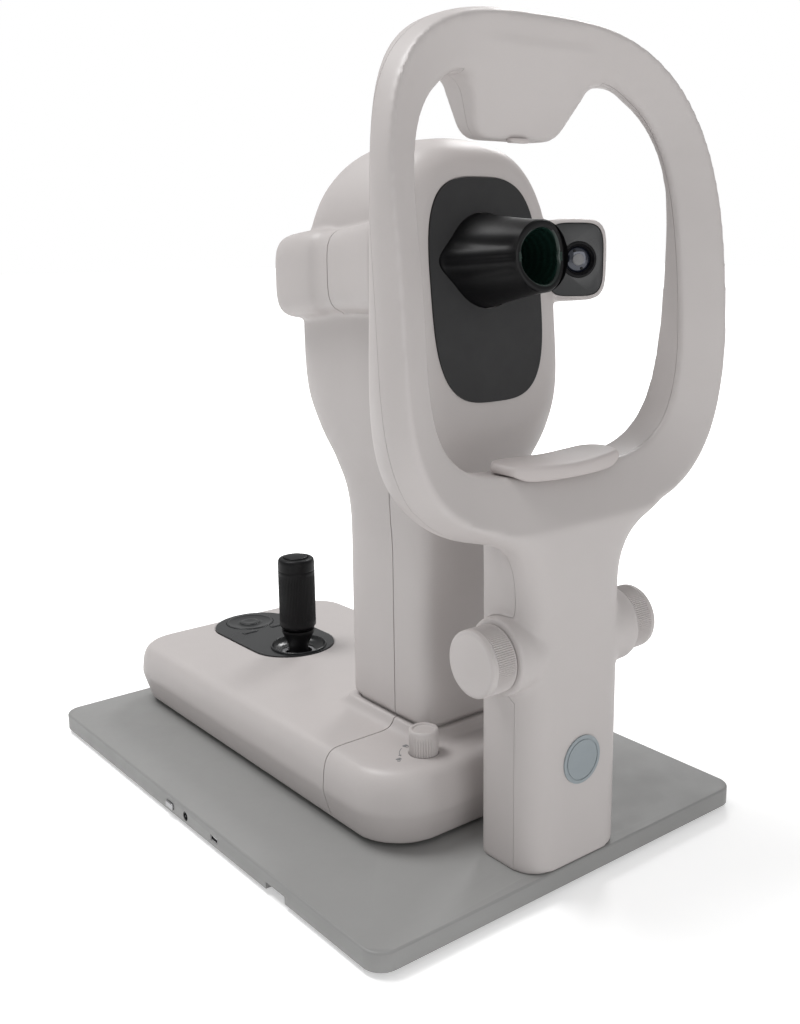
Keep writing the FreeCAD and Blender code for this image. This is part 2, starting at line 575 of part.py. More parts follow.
def deck_outline(inset, z0, z1):
    y0, y1 = DECK_Y0 + inset, DECK_Y1 - inset
    half = DECK_HALF - inset
    return tilt_deck(slab(half, y0, y1, z0, z1, half - 0.01, half - 0.01))


def base_shells():
    shell = base_form(0).fuse(collar_form())
    shell = shell.cut(base_form(WALL))
    shell = shell.cut(slab(SLEEVE_HALF + 1, SLEEVE_Y0 - 1, SLEEVE_Y1 + 1, 60, 90, 15, 9))
    shell = shell.cut(cyl(LOCK_R + GAP, (LOCK_X, LOCK_Y, 60), Z, 30))
    shell = shell.cut(deck_outline(-0.1, DECK_Z - DECK_SUNK, DECK_Z + 5))
    shell = shell.cut(deck_outline(2.5, DECK_Z - 10, DECK_Z))
    cutter = box(-120, 120, SEAM_Y, 240, 0, 100)
    return shell.cut(cutter), shell.common(cutter)


def key_form(x, extra, z0, z1):
    half_w = KEY_HALF_W + extra
    edges_x = KEY_HALF_L - KEY_HALF_W
    bar = box(x - edges_x, x + edges_x, KEY_Y - half_w, KEY_Y + half_w, z0, z1)
    ends = [cyl(half_w, (x + s * edges_x, KEY_Y, z0), Z, z1 - z0) for s in (-1, 1)]
    return tilt_deck(fused([bar] + ends))


def control_panel():
    top = DECK_Z - DECK_SUNK + DECK_T
    panel = deck_outline(0, DECK_Z - DECK_SUNK, top)
    holes = [cyl(WELL_R, (0, STICK_Y, DECK_Z - 10), Z, 20), cyl(NAV_R + GAP, (0, NAV_Y, DECK_Z - 10), Z, 20)]
    for hole in holes:
        panel = panel.cut(tilt_deck(hole))
    for x in (-KEY_X, KEY_X):
        panel = panel.cut(key_form(x, 0.3, DECK_Z - 10, DECK_Z + 10))
    return panel


def key_top():
    return DECK_Z - DECK_SUNK + DECK_T + 0.6


def nav_ring():
    z1 = key_top()
    return tilt_deck(tube(NAV_R, HUB_R + 0.3, (0, NAV_Y, z1 - KEY_DEPTH), Z, KEY_DEPTH))


def nav_button():
    z1 = key_top() + 0.4
    return tilt_deck(cyl(HUB_R, (0, NAV_Y, z1 - KEY_DEPTH), Z, KEY_DEPTH))


def key(x):
    return key_form(x, 0, key_top() - KEY_DEPTH, key_top())


def main_board():
    board = box(-30, 30, 140, 200, CHASSIS_TOP + 1.5, CHASSIS_TOP + 3)
    posts = [cyl(2.5, (x, y, CHASSIS_TOP), Z, 1.5) for x in (-26, 26) for y in (144, 190)]
    chips = [box(-8, 8, 142, 150, CHASSIS_TOP + 3, CHASSIS_TOP + 4),
             box(12, 24, 165, 177, CHASSIS_TOP + 3, CHASSIS_TOP + 4)]
    return fused([board] + posts + chips)


# ------------------------------------------------------------------ lock knob
def lock_knob():
    ribs, points = 28, []
    for i in range(2 * ribs):
        r, a = LOCK_R - (0.9 if i % 2 else 0), pi * i / ribs
        points.append(V(LOCK_X + r * cos(a), LOCK_Y + r * sin(a), 68))
    grip = prism(points, V(0, 0, LOCK_TOP - 70))
    cap = cyl(LOCK_R - 0.6, (LOCK_X, LOCK_Y, LOCK_TOP - 2), Z, 2)
    cap = cap.makeFillet(1.2, [e for e in cap.Edges if e.BoundBox.ZMin > LOCK_TOP - 0.1])
    dish = cyl(LOCK_R - 3, (LOCK_X, LOCK_Y, LOCK_TOP - 0.8), Z, 2)
    neck = cyl(5, (LOCK_X, LOCK_Y, 62), Z, 6)
    return fused([grip, cap, neck]).cut(dish)


def lock_plunger():
    return cyl(PLUNGER_R, (LOCK_X, LOCK_Y, PLATE_TOP + PLUNGER_GAP), Z, 61.5 - PLATE_TOP - PLUNGER_GAP)


# ----------------------------------------------------------------------- lift
def lift_motor():
    top = CHASSIS_TOP + MOTOR_H
    case = slab(MOTOR_HALF, LIFT_Y - MOTOR_HALF, LIFT_Y + MOTOR_HALF, CHASSIS_TOP, top, 4, 4)
    return case.cut(cyl(SCREW_R + 1, (0, LIFT_Y, top - 8), Z, 8))


def lift_screw():
    """Coarse lead screw with a four-start groove, rising out of the motor."""
    z0 = CHASSIS_TOP + MOTOR_H - 7
    screw = cyl(SCREW_R, (0, LIFT_Y, z0), Z, SCREW_TOP - z0)
    rings = int((SCREW_TOP - z0 - 22) / 5)
    for i in range(rings):
        screw = screw.cut(tube(SCREW_R + 1, SCREW_R - 0.6, (0, LIFT_Y, z0 + 14 + 5 * i), Z, 2))
    return screw


def guide_rods():
    return [cyl(GUIDE_R, (x, LIFT_Y, CHASSIS_TOP), Z, GUIDE_TOP - CHASSIS_TOP) for x in (-GUIDE_X, GUIDE_X)]


def lift_sleeve():
    z0 = CHASSIS_TOP
    outer = slab(SLEEVE_HALF, SLEEVE_Y0, SLEEVE_Y1, z0, SLEEVE_TOP, 14, 16)
    return outer.cut(slab(SLEEVE_HALF - 2, SLEEVE_Y0 + 2, SLEEVE_Y1 - 2, z0, SLEEVE_TOP, 12, 14))


def lift_frame():
    y0, y1 = LIFT_Y - 15, LIFT_Y + 15
    half = LIFT_HALF
    parts = [box(-half, half, y0, y1, CROSS_Z0, CROSS_Z1),
             box(-half, half, y0 - 12, y1 + 15, PLATFORM_Z, PLATFORM_Z + 3)]
    parts += both_sides(box(half - WALL, half, y0, y1, CROSS_Z1, PLATFORM_Z))
    body = fused(parts)
    body = body.cut(cyl(NUT_R, (0, LIFT_Y, CROSS_Z0), Z, CROSS_Z1 - CROSS_Z0))
    for x in (-GUIDE_X, GUIDE_X):
        body = body.cut(cyl(GUIDE_R + RUN, (x, LIFT_Y, CROSS_Z0), Z, CROSS_Z1 - CROSS_Z0))
    return body


def lift_nut():
    return tube(NUT_R, SCREW_R + RUN, (0, LIFT_Y, CROSS_Z0), Z, CROSS_Z1 - CROSS_Z0)


# ------------------------------------------------------------- measuring head
def head_section(z, half_w, y0, y1, inset):
    blend = min(1.0, max(0.0, (z - HEAD_FORM[0][0]) / 60))
    power = TOWER_N + (HEAD_N - TOWER_N) * blend
    front, rear = SEAM_Y - y0 - inset, y1 - SEAM_Y - inset
    points = []
    for i in range(48):
        t = 2 * pi * i / 48
        depth = rear if sin(t) > 0 else front
        a = half_w - inset
        r = (abs(cos(t) / a) ** power + abs(sin(t) / depth) ** power) ** (-1 / power)
        points.append(V(r * cos(t), SEAM_Y + r * sin(t), z))
    return loop(points)


def head_form(inset):
    tower = (TOWER_HALF, TOWER_Y0, TOWER_Y1)
    lower = loft([head_section(z, *tower, inset) for z in (TOWER_Z0, HEAD_FORM[0][0])], True)
    upper = loft([head_section(z - inset * (z > 400), w, y0, y1, inset * min(1, w / 40))
                  for z, w, y0, y1 in HEAD_FORM])
    face = box(-120, 120, -100, 0, -90, 300).translated(V(0, FACE_Y0 + inset, FACE_Z0))
    face = turned(face, FACE_TILT, FACE_Y0 + inset, FACE_Z0)
    return fused([lower, upper.cut(face)])


def pod_frame():
    """Middle of the pod's face, the level direction along it and its outward normal."""
    middle = (POD_IN + POD_OUT) * 0.5
    along = (POD_OUT - POD_IN).normalize()
    return middle, along, V(along.y, -along.x, 0)


def pod_section(half_w, half_h, back):
    middle, along, normal = pod_frame()
    spots = [middle + along * u + Z * w - normal * back for u, w in super_points(half_w, half_h, POD_N, 40)]
    return loop(spots)


def pod_width():
    return (POD_OUT - POD_IN).Length / 2


def pod_form(inset):
    wires = [pod_section(pod_width() - 2.5 - inset, POD_HALF_H - 2.5 - inset, inset),
             pod_section(pod_width() - inset, POD_HALF_H - inset, 4 + inset)]
    for y, x, half_w, z, half_h in POD_FORM:
        spots = super_points(half_w - inset, half_h - inset, POD_N, 40)
        wires.append(loop([V(x + u, y, z + w) for u, w in spots]))
    return fused([loft(wires[:2], True), loft(wires[1:5]), loft(wires[4:], True)])


def pod_window():
    half_w, half_h = pod_width() - WINDOW_RIM, POD_HALF_H - WINDOW_RIM
    _, _, normal = pod_frame()
    return Part.Face(pod_section(half_w, half_h, WINDOW_T + 0.3)).extrude(normal * WINDOW_T)


def lens_disc(r, front, back):
    middle, along, normal = pod_frame()
    start = middle + along * LENS_OUT - normal * back
    return cyl(r, (start.x, start.y, start.z), normal, back - front)


def cone_form():
    def section(y, r, ears):
        return loop([V((r + ears * abs(cos(t)) ** 14) * cos(t), y, CONE_Z + r * sin(t))
                     for t in [2 * pi * i / 64 for i in range(64)]])
    length = CONE_Y1 - CONE_Y0
    steps = ((0.0, CONE_R0, CONE_EARS), (0.12, CONE_R0 - 0.4, CONE_EARS),
             (0.55, 26.0, 3.0), (1.0, CONE_R1, 0.4))
    return loft([section(CONE_Y0 + length * s, r, ears) for s, r, ears in steps])


def tilt_axis(shape):
    return turned(shape, CONE_TILT, CONE_Y0, CONE_Z)


def cone_bore(extra=0.0):
    length = CONE_Y0 - CONE_Y1
    return Part.makeCone(THROAT_R + extra, MOUTH_R + extra, length, V(0, CONE_Y0, CONE_Z), -Y)


def placido_cone():
    body = cone_form()
    lip = [e for e in body.Edges if e.BoundBox.YMax < CONE_Y1 + 0.1]
    return tilt_axis(body.makeFillet(1.6, lip).cut(cone_bore()))


def front_panel():
    spots = [V(x, FACE_Y0, PANEL_Z + z) for x, z in super_points(PANEL_A, PANEL_B, PANEL_N)]
    plate = Part.Face(loop(spots)).extrude(V(0, -PANEL_T, 0)).translated(V(0, 1.2, 0))
    return turned(plate, FACE_TILT, FACE_Y0, FACE_Z0)


def head_shells():
    head, panel = head_form(0), front_panel()
    for pod in both_sides(pod_form(0)):
        head = head.fuse(pod)
    head = head.cut(head_form(WALL))
    for pod in both_sides(pod_form(WALL)):
        head = head.cut(pod)
    cuts = both_sides(pod_window()) + both_sides(lens_disc(11, -1, 12)) + [panel, tilt_axis(cone_form())]
    for cut in cuts:
        head = head.cut(cut)
    cutter = box(-150, 150, SEAM_Y, 60, 60, 500)
    return head.cut(cutter), head.common(cutter)


def camera_barrel():
    return tilt_axis(tube(14, THROAT_R, (0, -66, CONE_Z), -Y, 62).cut(cyl(12, (0, -66, CONE_Z), -Y, 50)))


def camera_lens():
    return tilt_axis(cyl(THROAT_R, (0, -116, CONE_Z), -Y, 5))


def camera_board():
    return tilt_axis(box(-18, 18, -66, -64.4, CONE_Z - 16, CONE_Z + 18))


def cone_light_board():
    return tilt_axis(tube(28, 14.2, (0, CONE_Y0 + 2.0, CONE_Z), -Y, 1.6))


# ------------------------------------------------------------------- joystick
def joystick_nodes():
    centre = (0, STICK_Y, PIVOT_Z)
    x_hole = cyl(PIN_R + RUN, (-30, STICK_Y, PIVOT_Z), X, 60)
    socket = tube(24, RING_OUT + 1, (0, STICK_Y, CHASSIS_TOP), Z, 8.2).cut(x_hole)
    ring = tube(RING_OUT, RING_IN, (0, STICK_Y, PIVOT_Z - 3.5), Z, 7)
    pins = both_sides(cyl(PIN_R, (RING_OUT - 1, STICK_Y, PIVOT_Z), X, 7))
    for side in (-1, 1):
        pins.append(cyl(PIN_R, (0, STICK_Y + side * (RING_IN + 1), PIVOT_Z), -Y * side, 5))
    gimbal = fused([ring] + pins)
    flare_z = PIVOT_Z + 10
    stem = fused([Part.makeSphere(BALL_R, V(*centre)), cyl(7, centre, Z, STEM_R + 1),
                  Part.makeCone(STEM_R, GRIP_R - 1, GRIP_Z0 - GAP - flare_z, V(0, STICK_Y, flare_z), Z),
                  cyl(SPINDLE_R, (0, STICK_Y, GRIP_Z0 - 2), Z, CAP_Z - GRIP_Z0 - 2)])
    stem = stem.cut(cyl(PIN_R + RUN, (0, STICK_Y - 20, PIVOT_Z), Y, 40))
    grip = cyl(GRIP_R - 0.6, (0, STICK_Y, GRIP_Z0), Z, CAP_Z - GRIP_Z0)
    ribs = 36
    for i in range(ribs):
        a = 2 * pi * i / ribs
        rib = cyl(0.75, (GRIP_R * cos(a) - 0.6 * cos(a), STICK_Y + (GRIP_R - 0.6) * sin(a), GRIP_Z0 + 2),
                  Z, CAP_Z - GRIP_Z0 - 4)
        grip = grip.fuse(rib)
    cap = cyl(GRIP_R, (0, STICK_Y, CAP_Z), Z, 8)
    cap = cap.makeFillet(3, [e for e in cap.Edges if e.BoundBox.ZMin > CAP_Z + 7.9])
    grip = grip.fuse(cap).cut(cyl(SPINDLE_R + RUN, (0, STICK_Y, GRIP_Z0), Z, CAP_Z - GRIP_Z0 - 1))
    grip = grip.cut(cyl(HUB_R + 1 + GAP, (0, STICK_Y, CAP_Z + 1), Z, 10))
    button = cyl(HUB_R + 1, (0, STICK_Y, CAP_Z + 3), Z, STICK_TOP - CAP_Z - 3)
    button = button.makeFillet(1.5, [e for e in button.Edges if e.BoundBox.ZMin > STICK_TOP - 0.1])
    return {"joystick_socket": socket, "joystick_gimbal": gimbal, "joystick_stem": stem,
            "joystick_grip": grip, "joystick_button": button}


def main():
    os.makedirs("parts", exist_ok=True)
    frame_front, frame_rear = frame_shells()
    rest, pad = forehead_pieces()
    base_front, base_rear = base_shells()
    head_front, head_rear = head_shells()
    window_ring = pod_window().cut(lens_disc(9.5, -1, 12))
    panel = front_panel().cut(tilt_axis(cone_form()))
    nodes = {
        "base_plate": base_plate(), "bottom_cover": bottom_cover(), "cover_screws": cover_screws(),
        "rubber_feet": rubber_feet(), "power_board": power_board(), "dc_jack": dc_jack(),
        "usb_port": usb_port(), "power_button": power_button(),
        "frame_front_shell": frame_front, "frame_rear_cover": frame_rear,
        "column_bracket": column_bracket(), "frame_screws": bracket_screws() + rail_screws(),
        "bar_guides": bar_guides(), "shaft_bushes": shaft_bushes(), "badge": badge(),
        "forehead_rest": rest, "forehead_pad": pad,
        "chin_rest": chin_rest(), "chin_bar": chin_bar(), "chin_shaft": chin_shaft(),
        "chin_pinion": chin_pinion(), "chin_knobs": both_sides(chin_knob()),
        "saddle": saddle(), "rail_blocks": rail_blocks(),
        "rod_bushes": rod_bushes(), "cross_rods": cross_rods(), "chassis": chassis(),
        "base_front_shell": base_front, "base_rear_shell": base_rear,
        "control_panel": control_panel(), "main_board": main_board(),
        "nav_ring": nav_ring(), "nav_button": nav_button(), "left_key": key(-KEY_X), "right_key": key(KEY_X),
        "lock_knob": lock_knob(), "lock_plunger": lock_plunger(),
        "lift_motor": lift_motor(), "lift_screw": lift_screw(), "guide_rods": guide_rods(),
        "lift_sleeve": lift_sleeve(), "lift_frame": lift_frame(), "lift_nut": lift_nut(),
        "head_front_shell": head_front, "head_rear_shell": head_rear, "front_panel": panel,
        "placido_cone": placido_cone(), "cone_light_board": cone_light_board(),
        "camera_barrel": camera_barrel(), "camera_lens": camera_lens(), "camera_board": camera_board(),
        "pod_windows": both_sides(window_ring),
        "pod_lenses": both_sides(lens_disc(9.5, 0.3, 3.3)),
        "pod_cameras": both_sides(lens_disc(9.5, 3.3, 12)),
    }
    nodes["y_rails"] = both_sides(y_rail())
    nodes.update(joystick_nodes())
    for name, shape in nodes.items():
        save(name, shape)


if __name__ == "__main__":
    main()
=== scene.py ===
import math

import bmesh
import bpy
import numpy as np
from mathutils import Matrix, Vector


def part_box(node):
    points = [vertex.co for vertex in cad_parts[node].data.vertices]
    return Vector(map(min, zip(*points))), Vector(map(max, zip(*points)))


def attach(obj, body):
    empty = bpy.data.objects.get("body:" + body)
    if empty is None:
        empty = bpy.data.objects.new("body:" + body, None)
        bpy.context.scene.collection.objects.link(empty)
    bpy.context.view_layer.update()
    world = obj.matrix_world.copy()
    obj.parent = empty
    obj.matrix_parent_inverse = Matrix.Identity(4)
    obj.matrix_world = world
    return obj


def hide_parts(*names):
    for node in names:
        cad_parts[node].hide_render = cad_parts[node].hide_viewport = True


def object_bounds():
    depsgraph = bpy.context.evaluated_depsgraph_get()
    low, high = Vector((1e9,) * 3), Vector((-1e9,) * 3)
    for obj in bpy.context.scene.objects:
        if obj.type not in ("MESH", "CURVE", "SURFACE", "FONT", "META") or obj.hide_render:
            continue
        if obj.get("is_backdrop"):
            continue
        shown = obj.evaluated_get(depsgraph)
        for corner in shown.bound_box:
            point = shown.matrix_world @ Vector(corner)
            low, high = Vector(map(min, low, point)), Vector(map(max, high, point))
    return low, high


# Looks of a table-top corneal topographer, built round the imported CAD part.
# Lengths in the tables below are millimetres in the part's own frame.
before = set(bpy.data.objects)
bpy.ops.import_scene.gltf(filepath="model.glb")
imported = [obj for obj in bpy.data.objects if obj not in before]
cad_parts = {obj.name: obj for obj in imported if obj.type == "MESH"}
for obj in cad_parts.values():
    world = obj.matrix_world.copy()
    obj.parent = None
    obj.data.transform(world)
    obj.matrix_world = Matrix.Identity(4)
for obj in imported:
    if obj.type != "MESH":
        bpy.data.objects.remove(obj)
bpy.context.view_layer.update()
MM = 0.001
TAU = 2 * math.pi
SEAM_GAP = 0.9

# ---------------------------------------------------------------- dimensions
# Head frame: ring centre height, start and radius of its backward lean, column section.
RING_Z, LEAN_Z, LEAN_R = 398.0, 328.0, 650.0
COL_HALF, COL_FRONT, COL_REAR, COL_SEAM = 43.0, -230.0, -178.0, -212.0
# Ring edges: half width, lower height, lower exponent, upper height, upper exponent.
CREASE = (136.2, 151.0, 3.55, 150.0, 3.15)
BULGE = (142.0, 160.0, 3.55, 160.0, 2.7)
BACK = (135.5, 151.5, 3.75, 151.5, 3.12)
INNER = (108.2, 120.0, 4.2, 120.0, 3.5)
INNER_REAR = (109.2, 120.0, 4.2, 120.0, 3.5)
DISH, BULGE_DROP = 17.5, 3.8
# Column half width at each height, up into the ring.
NECK = ((17.0, 43.0), (110.0, 43.0), (203.0, 43.0), (218.0, 46.0), (230.0, 53.0), (239.0, 64.0),
        (247.0, 80.0), (254.0, 84.0), (262.0, 86.0))
KNOB_Y, KNOB_Z, KNOB_R, KNOB_RIBS, BOSS_R = -205.0, 164.5, 21.6, 96, 25.5
# Base housing. BASE_RISE: share of the height above the crease, and how far the outline is drawn in.
BASE_Y0, BASE_Y1, BASE_HALF, BASE_Z0 = -157.0, 227.0, 103.0, 20.0
CREASE_Z, DECK_Z, DECK_DROP = 43.5, 73.5, 5.5
BASE_RISE = ((0.0, 0.0), (0.25, 0.4), (0.45, 0.9), (0.60, 1.6), (0.72, 2.5), (0.82, 3.8), (0.89, 5.3),
             (0.945, 7.2), (0.98, 9.5), (0.995, 12.0), (1.0, 16.0))
SEAM_Y, POD_SEAM_Y = -82.0, -86.0
TOWER_HALF, TOWER_Y0, TOWER_Y1 = 40.0, -119.0, -19.0
# Head sections: height, half width, front, rear.
HEAD_FORM = (
    (205.0, 40.0, -119.0, -19.0), (225.0, 41.5, -121.0, -18.0), (245.0, 46.0, -128.0, -15.5),
    (265.0, 55.0, -137.0, -11.0), (290.0, 67.0, -145.5, -7.0), (320.0, 76.0, -146.5, -5.0),
    (370.0, 77.5, -141.0, -5.0), (410.0, 75.0, -136.5, -9.0), (440.0, 68.0, -133.0, -17.0),
    (460.0, 56.0, -129.5, -28.0), (473.0, 41.0, -123.0, -42.0), (480.5, 23.0, -110.0, -58.0),
    (483.0, 8.0, -98.0, -72.0))
# Head seam above the tower: height, shift from SEAM_Y.
HEAD_SEAM = ((60, 0), (225, 0), (240, -3), (260, -12), (280, -22), (300, -29), (320, -33), (400, -33),
             (440, -26), (456, -14), (470, 0), (500, 0))
# Face plane from one (Y, Z) point to another. Panel: centre height, half width, half height, exponent.
FACE = (-144.0, 313.0, -128.0, 458.0)
PANEL = (385.5, 46.7, 72.5, 3.3)
# Side camera housings ("pods"). POD_ROWS: depth, centre X, half width, centre Z, half height.
POD_MID = Vector((79.75, -137.4, 403.5))
POD_HALF_W, POD_HALF_H, POD_N = 23.3, 28.3, 4.2
POD_ALONG = Vector((0.8469, -0.5317, 0.0))
POD_OUT = Vector((-0.5317, -0.8469, 0.0))
POD_ROWS = (
    (-110.0, 66.5, 27.4, 400.6, 27.6), (-82.0, 60.6, 30.0, 398.0, 27.0),
    (-72.0, 60.6, 29.9, 397.2, 26.9), (-68.0, 60.6, 30.6, 396.9, 27.5),
    (-64.0, 60.6, 31.6, 396.6, 28.4), (-50.0, 60.5, 31.8, 395.5, 28.9),
    (-28.0, 60.2, 31.2, 393.2, 28.6), (-20.0, 59.4, 29.6, 392.4, 27.2),
    (-16.0, 58.0, 26.5, 392.0, 24.8), (-14.6, 56.0, 22.0, 392.0, 20.6))
CONE_Y, CONE_Z, CONE_DEPTH, CONE_TILT = -130.0, 404.0, 60.0, math.radians(-4.4)
CHIN_HALF, CHIN_REAR = 50.0, -187.0
STICK_Y, PIVOT_Z, GRIP_R, LOCK_R = 111.5, 62.0, 15.5, 10.2
NAV_Y, KEY_Y = 195.0, 170.0
# Camera in metres and degrees, fitted to the photograph.
CAMERA_SPOT, CAMERA_YAW, CAMERA_PITCH = (-0.5106, -0.7214, 0.4293), 40.5, 12.31


# ------------------------------------------------------------------- meshes
def new_object(name, verts, faces):
    mesh = bpy.data.meshes.new(name)
    mesh.from_pydata([tuple(v) for v in np.asarray(verts, float) * MM], [], faces)
    bm = bmesh.new()
    bm.from_mesh(mesh)
    bmesh.ops.remove_doubles(bm, verts=bm.verts, dist=1e-7)
    bmesh.ops.recalc_face_normals(bm, faces=bm.faces)
    bm.to_mesh(mesh)
    bm.free()
    obj = bpy.data.objects.new(name, mesh)
    bpy.context.scene.collection.objects.link(obj)
    return obj


def skin(name, loops, closed=False):
    """Quads between equal closed loops. Ends are capped, or joined when closed."""
    loops = np.asarray(loops, float)
    k, n = loops.shape[:2]
    faces = []
    for row in range(k if closed else k - 1):
        a, b = row * n, (row + 1) % k * n
        faces += [(a + i, a + (i + 1) % n, b + (i + 1) % n, b + i) for i in range(n)]
    if not closed:
        faces += [tuple(range(n))[::-1], tuple(range((k - 1) * n, k * n))]
    return new_object(name, loops.reshape(-1, 3), faces)


def prism(name, polygon, low, high, axis=0):
    """Solid with a flat outline in the two other axes, from low to high along the axis."""
    loops = []
    for end in (low, high):
        row = [list(p) for p in polygon]
        for p in row:
            p.insert(axis, end)
        loops.append(row)
    return skin(name, loops)


def rectangle(half, y0, y1):
    return [(-half, y0), (half, y0), (half, y1), (-half, y1)]


def smooth_rows(rows, steps):
    """Catmull-Rom curve through the rows, with that many steps between two of them."""
    rows = np.asarray(rows, float)
    padded = np.concatenate([2 * rows[:1] - rows[1:2], rows, 2 * rows[-1:] - rows[-2:-1]])
    out = []
    for i in range(1, len(padded) - 2):
        p0, p1, p2, p3 = padded[i - 1:i + 3]
        for t in np.arange(steps) / steps:
            out.append(0.5 * (2 * p1 + (p2 - p0) * t + (2 * p0 - 5 * p1 + 4 * p2 - p3) * t ** 2
                              + (3 * p1 - p0 - 3 * p2 + p3) * t ** 3))
    out.append(rows[-1])
    return np.array(out)


def oval(a, b, n, count, low=None):
    """Superellipse. low gives its lower half a height and an exponent of its own."""
    t = TAU * np.arange(count) / count
    under = np.sin(t) < 0
    b = np.where(under, low[0] if low else b, b)
    n = np.where(under, low[1] if low else n, n)
    r = (np.abs(np.cos(t) / a) ** n + np.abs(np.sin(t) / b) ** n) ** (-1 / n)
    return r * np.cos(t), r * np.sin(t)


def round_rect(half_w, y0, y1, front_r, rear_r, steps=14, edge=16):
    """Outline symmetric about X = 0, as (count, 2) points with even runs along its sides."""
    spots = []
    corners = ((half_w - front_r, y0 + front_r, front_r, -90), (half_w - rear_r, y1 - rear_r, rear_r, 0),
               (rear_r - half_w, y1 - rear_r, rear_r, 90), (front_r - half_w, y0 + front_r, front_r, 180))
    for cx, cy, r, start in corners:
        for i in range(steps + 1):
            a = math.radians(start + 90 * i / steps)
            spots.append((cx + r * math.cos(a), cy + r * math.sin(a)))
    out = []
    for i, p in enumerate(spots):
        q = spots[(i + 1) % len(spots)]
        cuts = edge if i % (steps + 1) == steps else 1
        out += [(p[0] + (q[0] - p[0]) * j / cuts, p[1] + (q[1] - p[1]) * j / cuts) for j in range(cuts)]
    return np.array(out)


def level(outline, z):
    """Flat outline lifted to one height, or to a height for each of its points."""
    return np.column_stack([outline, np.full(len(outline), z) if np.isscalar(z) else z])


def modified(obj, kind, **settings):
    """Applies one modifier to the object's mesh."""
    modifier = obj.modifiers.new(kind.lower(), kind)
    for key, value in settings.items():
        setattr(modifier, key, value)
    bpy.context.view_layer.update()
    mesh = bpy.data.meshes.new_from_object(obj.evaluated_get(bpy.context.evaluated_depsgraph_get()))
    obj.modifiers.clear()
    obj.data = mesh
    return obj


def joined(name, parts):
    """One object from the parts' meshes. The parts are used up."""
    bm = bmesh.new()
    for part in parts:
        bm.from_mesh(part.data)
        bpy.data.objects.remove(part)
    mesh = bpy.data.meshes.new(name)
    bm.to_mesh(mesh)
    bm.free()
    obj = bpy.data.objects.new(name, mesh)
    bpy.context.scene.collection.objects.link(obj)
    return obj


def soft_union(name, parts, voxel):
    """One skin round the parts, with even quads that relax can round."""
    return modified(joined(name, parts), "REMESH", mode="VOXEL", voxel_size=voxel * MM)


def relax(obj, passes, weight=None):
    """Laplacian smoothing. weight(points in mm) gives each vertex a share from 0 to 1."""
    mesh = obj.data
    count = len(mesh.vertices)
    co = np.empty(count * 3)
    mesh.vertices.foreach_get("co", co)
    co = co.reshape(-1, 3)
    ends = np.empty(len(mesh.edges) * 2, np.int64)
    mesh.edges.foreach_get("vertices", ends)
    a, b = ends[::2], ends[1::2]
    degree = np.bincount(ends, minlength=count)[:, None]
    share = 0.6 * (np.ones(count) if weight is None else np.clip(weight(co / MM), 0, 1))[:, None]
    for _ in range(passes):
        total = np.column_stack([np.bincount(a, co[b, i], count) + np.bincount(b, co[a, i], count)
                                 for i in range(3)])
        co += share * (total / degree - co)
    mesh.vertices.foreach_set("co", co.ravel())
    mesh.update()
    return obj


def carve(obj, cutter, operation="DIFFERENCE"):
    """Boolean of the two. The cutter is used up."""
    modified(obj, "BOOLEAN", object=cutter, operation=operation, solver="MANIFOLD")
    bpy.data.objects.remove(cutter)
    return obj


def twin(obj, name):
    """Copy with a mesh of its own."""
    copy = bpy.data.objects.new(name, obj.data.copy())
    bpy.context.scene.collection.objects.link(copy)
    return copy


def lathe(name, profile, seg, place=None, swell=None, closed=False):
    """Turned form from (radius, height) points. swell(radius, height, angles) shapes the radius."""
    t = TAU * np.arange(seg) / seg
    loops = []
    for r, h in profile:
        radius = np.full(seg, float(r)) if swell is None else swell(r, h, t)
        loops.append(np.column_stack([radius * np.cos(t), radius * np.sin(t), np.full(seg, float(h))]))
    loops = np.array(loops)
    if place is not None:
        m = np.array(place)
        loops = loops @ m[:3, :3].T + m[:3, 3]
    return skin(name, loops, closed)


def fillet(points, sizes, steps=6):
    """Polyline with its inner corners rounded. sizes: millimetres taken from both sides of each."""
    out = [points[0]]
    for i in range(1, len(points) - 1):
        p, size = np.array(points[i], float), sizes[i - 1]
        ends = []
        for q in (points[i - 1], points[i + 1]):
            d = np.array(q, float) - p
            ends.append(p + d * min(size / np.linalg.norm(d), 0.49))
        for s in np.linspace(0, 1, steps if size else 1):
            out.append(tuple((1 - s) ** 2 * ends[0] + 2 * s * (1 - s) * p + s * s * ends[1]))
    return out + [points[-1]]


def shaded(obj, angle=34):
    obj.data.shade_smooth()
    obj.data.set_sharp_from_angle(angle=math.radians(angle))
    return obj


# ---------------------------------------------------------------- materials
def add(tree, kind, **sockets):
    node = tree.nodes.new("ShaderNode" + kind)
    for key, value in sockets.items():
        node.inputs[key.replace("_", " ")].default_value = value
    return node


def grain(tree, coords, scale, detail=3.0, stretch=None):
    if stretch:
        mapping = add(tree, "Mapping", Scale=stretch)
        tree.links.new(coords, mapping.inputs["Vector"])
        coords = mapping.outputs["Vector"]
    node = add(tree, "TexNoise", Scale=scale, Detail=detail, Roughness=0.6)
    tree.links.new(coords, node.inputs["Vector"])
    return node.outputs["Fac"]


def remap(tree, value, low, high, to_low, to_high):
    node = add(tree, "MapRange", From_Min=low, From_Max=high, To_Min=to_low, To_Max=to_high)
    tree.links.new(value, node.inputs["Value"])
    return node.outputs["Result"]


def blend_colour(tree, share, first, second):
    node = tree.nodes.new("ShaderNodeMix")
    node.data_type = "RGBA"
    tree.links.new(share, node.inputs[0])
    for socket, value in ((node.inputs[6], first), (node.inputs[7], second)):
        if isinstance(value, tuple):
            socket.default_value = value
        else:
            tree.links.new(value, socket)
    return node.outputs[2]


def tone(rgb, scale):
    return tuple(min(1.0, c * scale) for c in rgb) + (1.0,)


